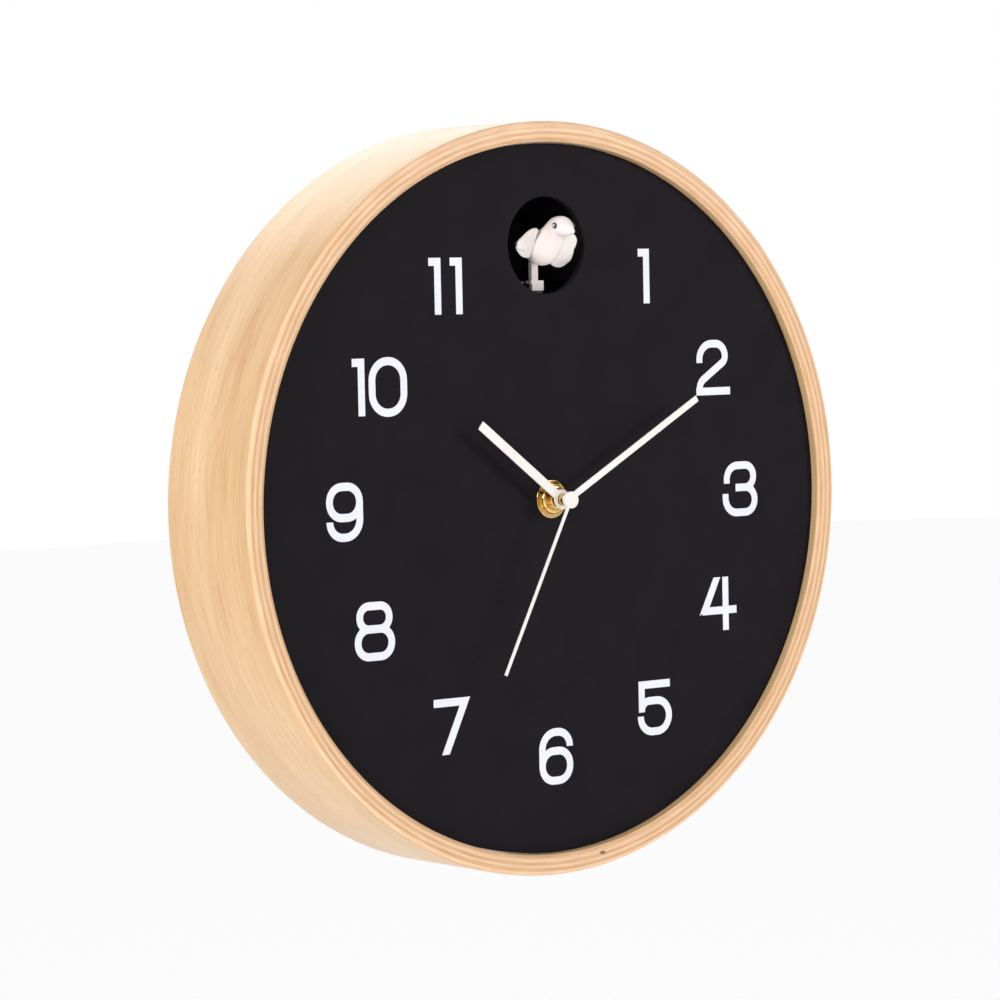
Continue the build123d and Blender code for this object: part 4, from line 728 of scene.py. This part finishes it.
EYE_AT = Vector((4.85, -63.9, 113.9)) / 1000
EYE_R = 0.00128
EYE_DOT_R = 0.00062
EYE_DOT_DEPTH = 0.0001
EYE_FLATTEN = 0.55
for side, label in ((1, "left"), (-1, "right")):
    clear()
    bpy.ops.mesh.primitive_uv_sphere_add(
        segments=40, ring_count=20, radius=EYE_R, location=(side * EYE_AT.x, EYE_AT.y, EYE_AT.z),
        rotation=(0, math.pi / 2, 0),
    )
    eye = bpy.context.object
    eye.name = f"{label}_eye_bead"
    eye.scale = (1, 1, EYE_FLATTEN)
    bpy.ops.object.mode_set(mode="EDIT")
    pick("faces", lambda at: side * at.z > 0 and at.xy.length < EYE_DOT_R)
    bpy.ops.transform.translate(value=(-side * EYE_DOT_DEPTH, 0, 0))
    finish_mesh(eye, bead)
    eye.data.materials.append(bird_plastic)
    eye_middle = Vector((side * EYE_AT.x, EYE_AT.y, EYE_AT.z))
    for face in eye.data.polygons:
        offset = Vector(face.center) - eye_middle
        face.material_index = int(side * offset.x > 0 and offset.yz.length < EYE_DOT_R)
    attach(eye, "bird")
    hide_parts("bird_eyes")

# %% [markdown]
# ## Wings
# Each wing is a small paddle with rounded feather tips. A grid is easy to shape: its columns run along the
# hinge, so each column is stretched and slid until the outline is right. Points of the outer edge are
# pulled in between the tips, the plate is given its thickness, and its middle is crowned.

# %% Hinge lines at the bird's sides
HINGE = {"left": Vector((6.8, -51.0, 106.0)) / 1000, "right": Vector((-6.8, -51.0, 106.0)) / 1000}
HINGE_TILT = math.radians(28.6)
ALONG = Vector((0, -math.sin(HINGE_TILT), math.cos(HINGE_TILT)))

# %% Outlines in the wing's own plane, in millimetres
# Distance from the hinge, then top and bottom along the hinge. The two wings differ a little.
WING_COLUMNS = {
    "left": [(-0.8, 5.8, -8.6), (0.4, 6.1, -9.5), (2.5, 6.3, -10.3), (4.8, 6.2, -10.7), (7.0, 5.5, -9.9),
             (8.7, 4.2, -8.5), (10.0, 1.8, -7.0)],
    "right": [(-0.8, 7.6, -5.6), (0.3, 8.2, -5.8), (2.0, 7.9, -5.8), (3.6, 7.0, -5.2), (5.2, 5.9, -4.2),
              (6.7, 4.0, -2.8), (8.0, 1.6, -1.2)],
}
# Notches between feather tips: distance from the hinge and place along it
WING_NOTCHES = {"left": [(10.0, -2.0), (8.7, -8.5)], "right": [(6.7, 4.0), (5.2, 5.9)]}
WING_ROWS = 14
WING_THICK = 0.0015
WING_CROWN = 0.00045
WING_ROOT = 0.002
WING_BORDER = 0.001
NOTCH_REACH = 0.00055
NOTCH_DEPTH = 0.0009
NOTCH_SLIDE = 0.0002
# A shaped column waits this far off, so that the next pick can't catch it
PARKED = 10


# %% Shape one wing and hang it on its hinge
def wing(label, sign):
    """A wing in its own plane, X away from the hinge and Y along it, then set on the hinge."""
    columns = WING_COLUMNS[label]
    clear()
    bpy.ops.mesh.primitive_grid_add(x_subdivisions=len(columns) - 1, y_subdivisions=WING_ROWS, size=1)
    made = bpy.context.object
    made.name = f"{label}_wing_shell"
    bpy.ops.object.mode_set(mode="EDIT")
    gap = 1 / (len(columns) - 1)
    for index, (out, top, bottom) in enumerate(columns):
        column = -0.5 + index * gap
        pick("verts", lambda at: abs(at.x - column) < gap / 4)
        bpy.ops.transform.resize(value=(1, (top - bottom) / 1000, 1), center_override=(column, 0, 0))
        bpy.ops.transform.translate(value=(out / 1000 - column + PARKED, (top + bottom) / 2000, 0))
    bpy.ops.mesh.select_all(action="SELECT")
    bpy.ops.transform.translate(value=(-PARKED, 0, 0))
    for out, at_height in WING_NOTCHES[label]:
        spot = Vector((out / 1000, at_height / 1000, 0))
        pick("verts", lambda at: (at - spot).length < NOTCH_REACH)
        bpy.ops.transform.translate(value=(-NOTCH_DEPTH, -NOTCH_SLIDE if at_height > 0 else NOTCH_SLIDE, 0))
    bpy.ops.mesh.select_all(action="SELECT")
    bpy.ops.mesh.extrude_region_move(TRANSFORM_OT_translate={"value": (0, 0, WING_THICK)})
    bpy.ops.mesh.select_all(action="SELECT")
    bpy.ops.mesh.normals_make_consistent(inside=False)
    # Crown both faces: inner points move out, edge points stay
    for face_z, way in ((0.0, -1), (WING_THICK, 1)):
        pick(
            "verts",
            lambda at: abs(at.z - face_z) < 1e-5 and WING_ROOT < at.x < columns[-2][0] / 1000
            and columns[-2][2] / 1000 + WING_BORDER < at.y < columns[-2][1] / 1000 - WING_BORDER,
        )
        bpy.ops.transform.translate(value=(0, 0, way * WING_CROWN))
    soften = made.modifiers.new("round", "SUBSURF")
    soften.levels = soften.render_levels = 2
    out_way = Vector((sign, 0, 0))
    normal = out_way.cross(ALONG)
    origin = HINGE[label] - normal * WING_THICK / 2
    bpy.ops.object.mode_set(mode="OBJECT")
    turned_to = Matrix((out_way, ALONG, normal)).transposed().to_4x4()
    made.matrix_world = Matrix.Translation(origin) @ turned_to
    finish_mesh(made, bird_plastic)
    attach(made, f"{label}_wing")
    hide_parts(f"{label}_wing")


wing("left", 1)
wing("right", -1)

# %% [markdown]
# ## Hinge pins
# Each wing turns on a thin steel pin. Nothing of it shows on the real bird, so the pins end inside the
# wings' roots. A pin is a cylinder whose rims are bevelled.

# %% Two short pins
PIN_R = 0.00045
PIN_LENGTH = 0.0096
PIN_RIM = 0.0001
pins = []
for label, middle_at in HINGE.items():
    clear()
    bpy.ops.mesh.primitive_cylinder_add(
        vertices=24, radius=PIN_R, depth=PIN_LENGTH, location=middle_at, rotation=(HINGE_TILT, 0, 0)
    )
    pin = bpy.context.object
    bpy.ops.object.mode_set(mode="EDIT")
    pick("faces", lambda at: abs(at.z) > PIN_LENGTH * 0.49)
    bpy.ops.mesh.bevel(offset=PIN_RIM, segments=2, affect="EDGES")
    finish_mesh(pin, bright_steel, smooth=SHARP_ANGLE)
    pins.append(pin)
clear()
for pin in pins:
    pin.select_set(True)
bpy.context.view_layer.objects.active = pins[0]
bpy.ops.object.join()
pins[0].name = "short_wing_pins"
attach(pins[0], "bird")
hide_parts("wing_pins")
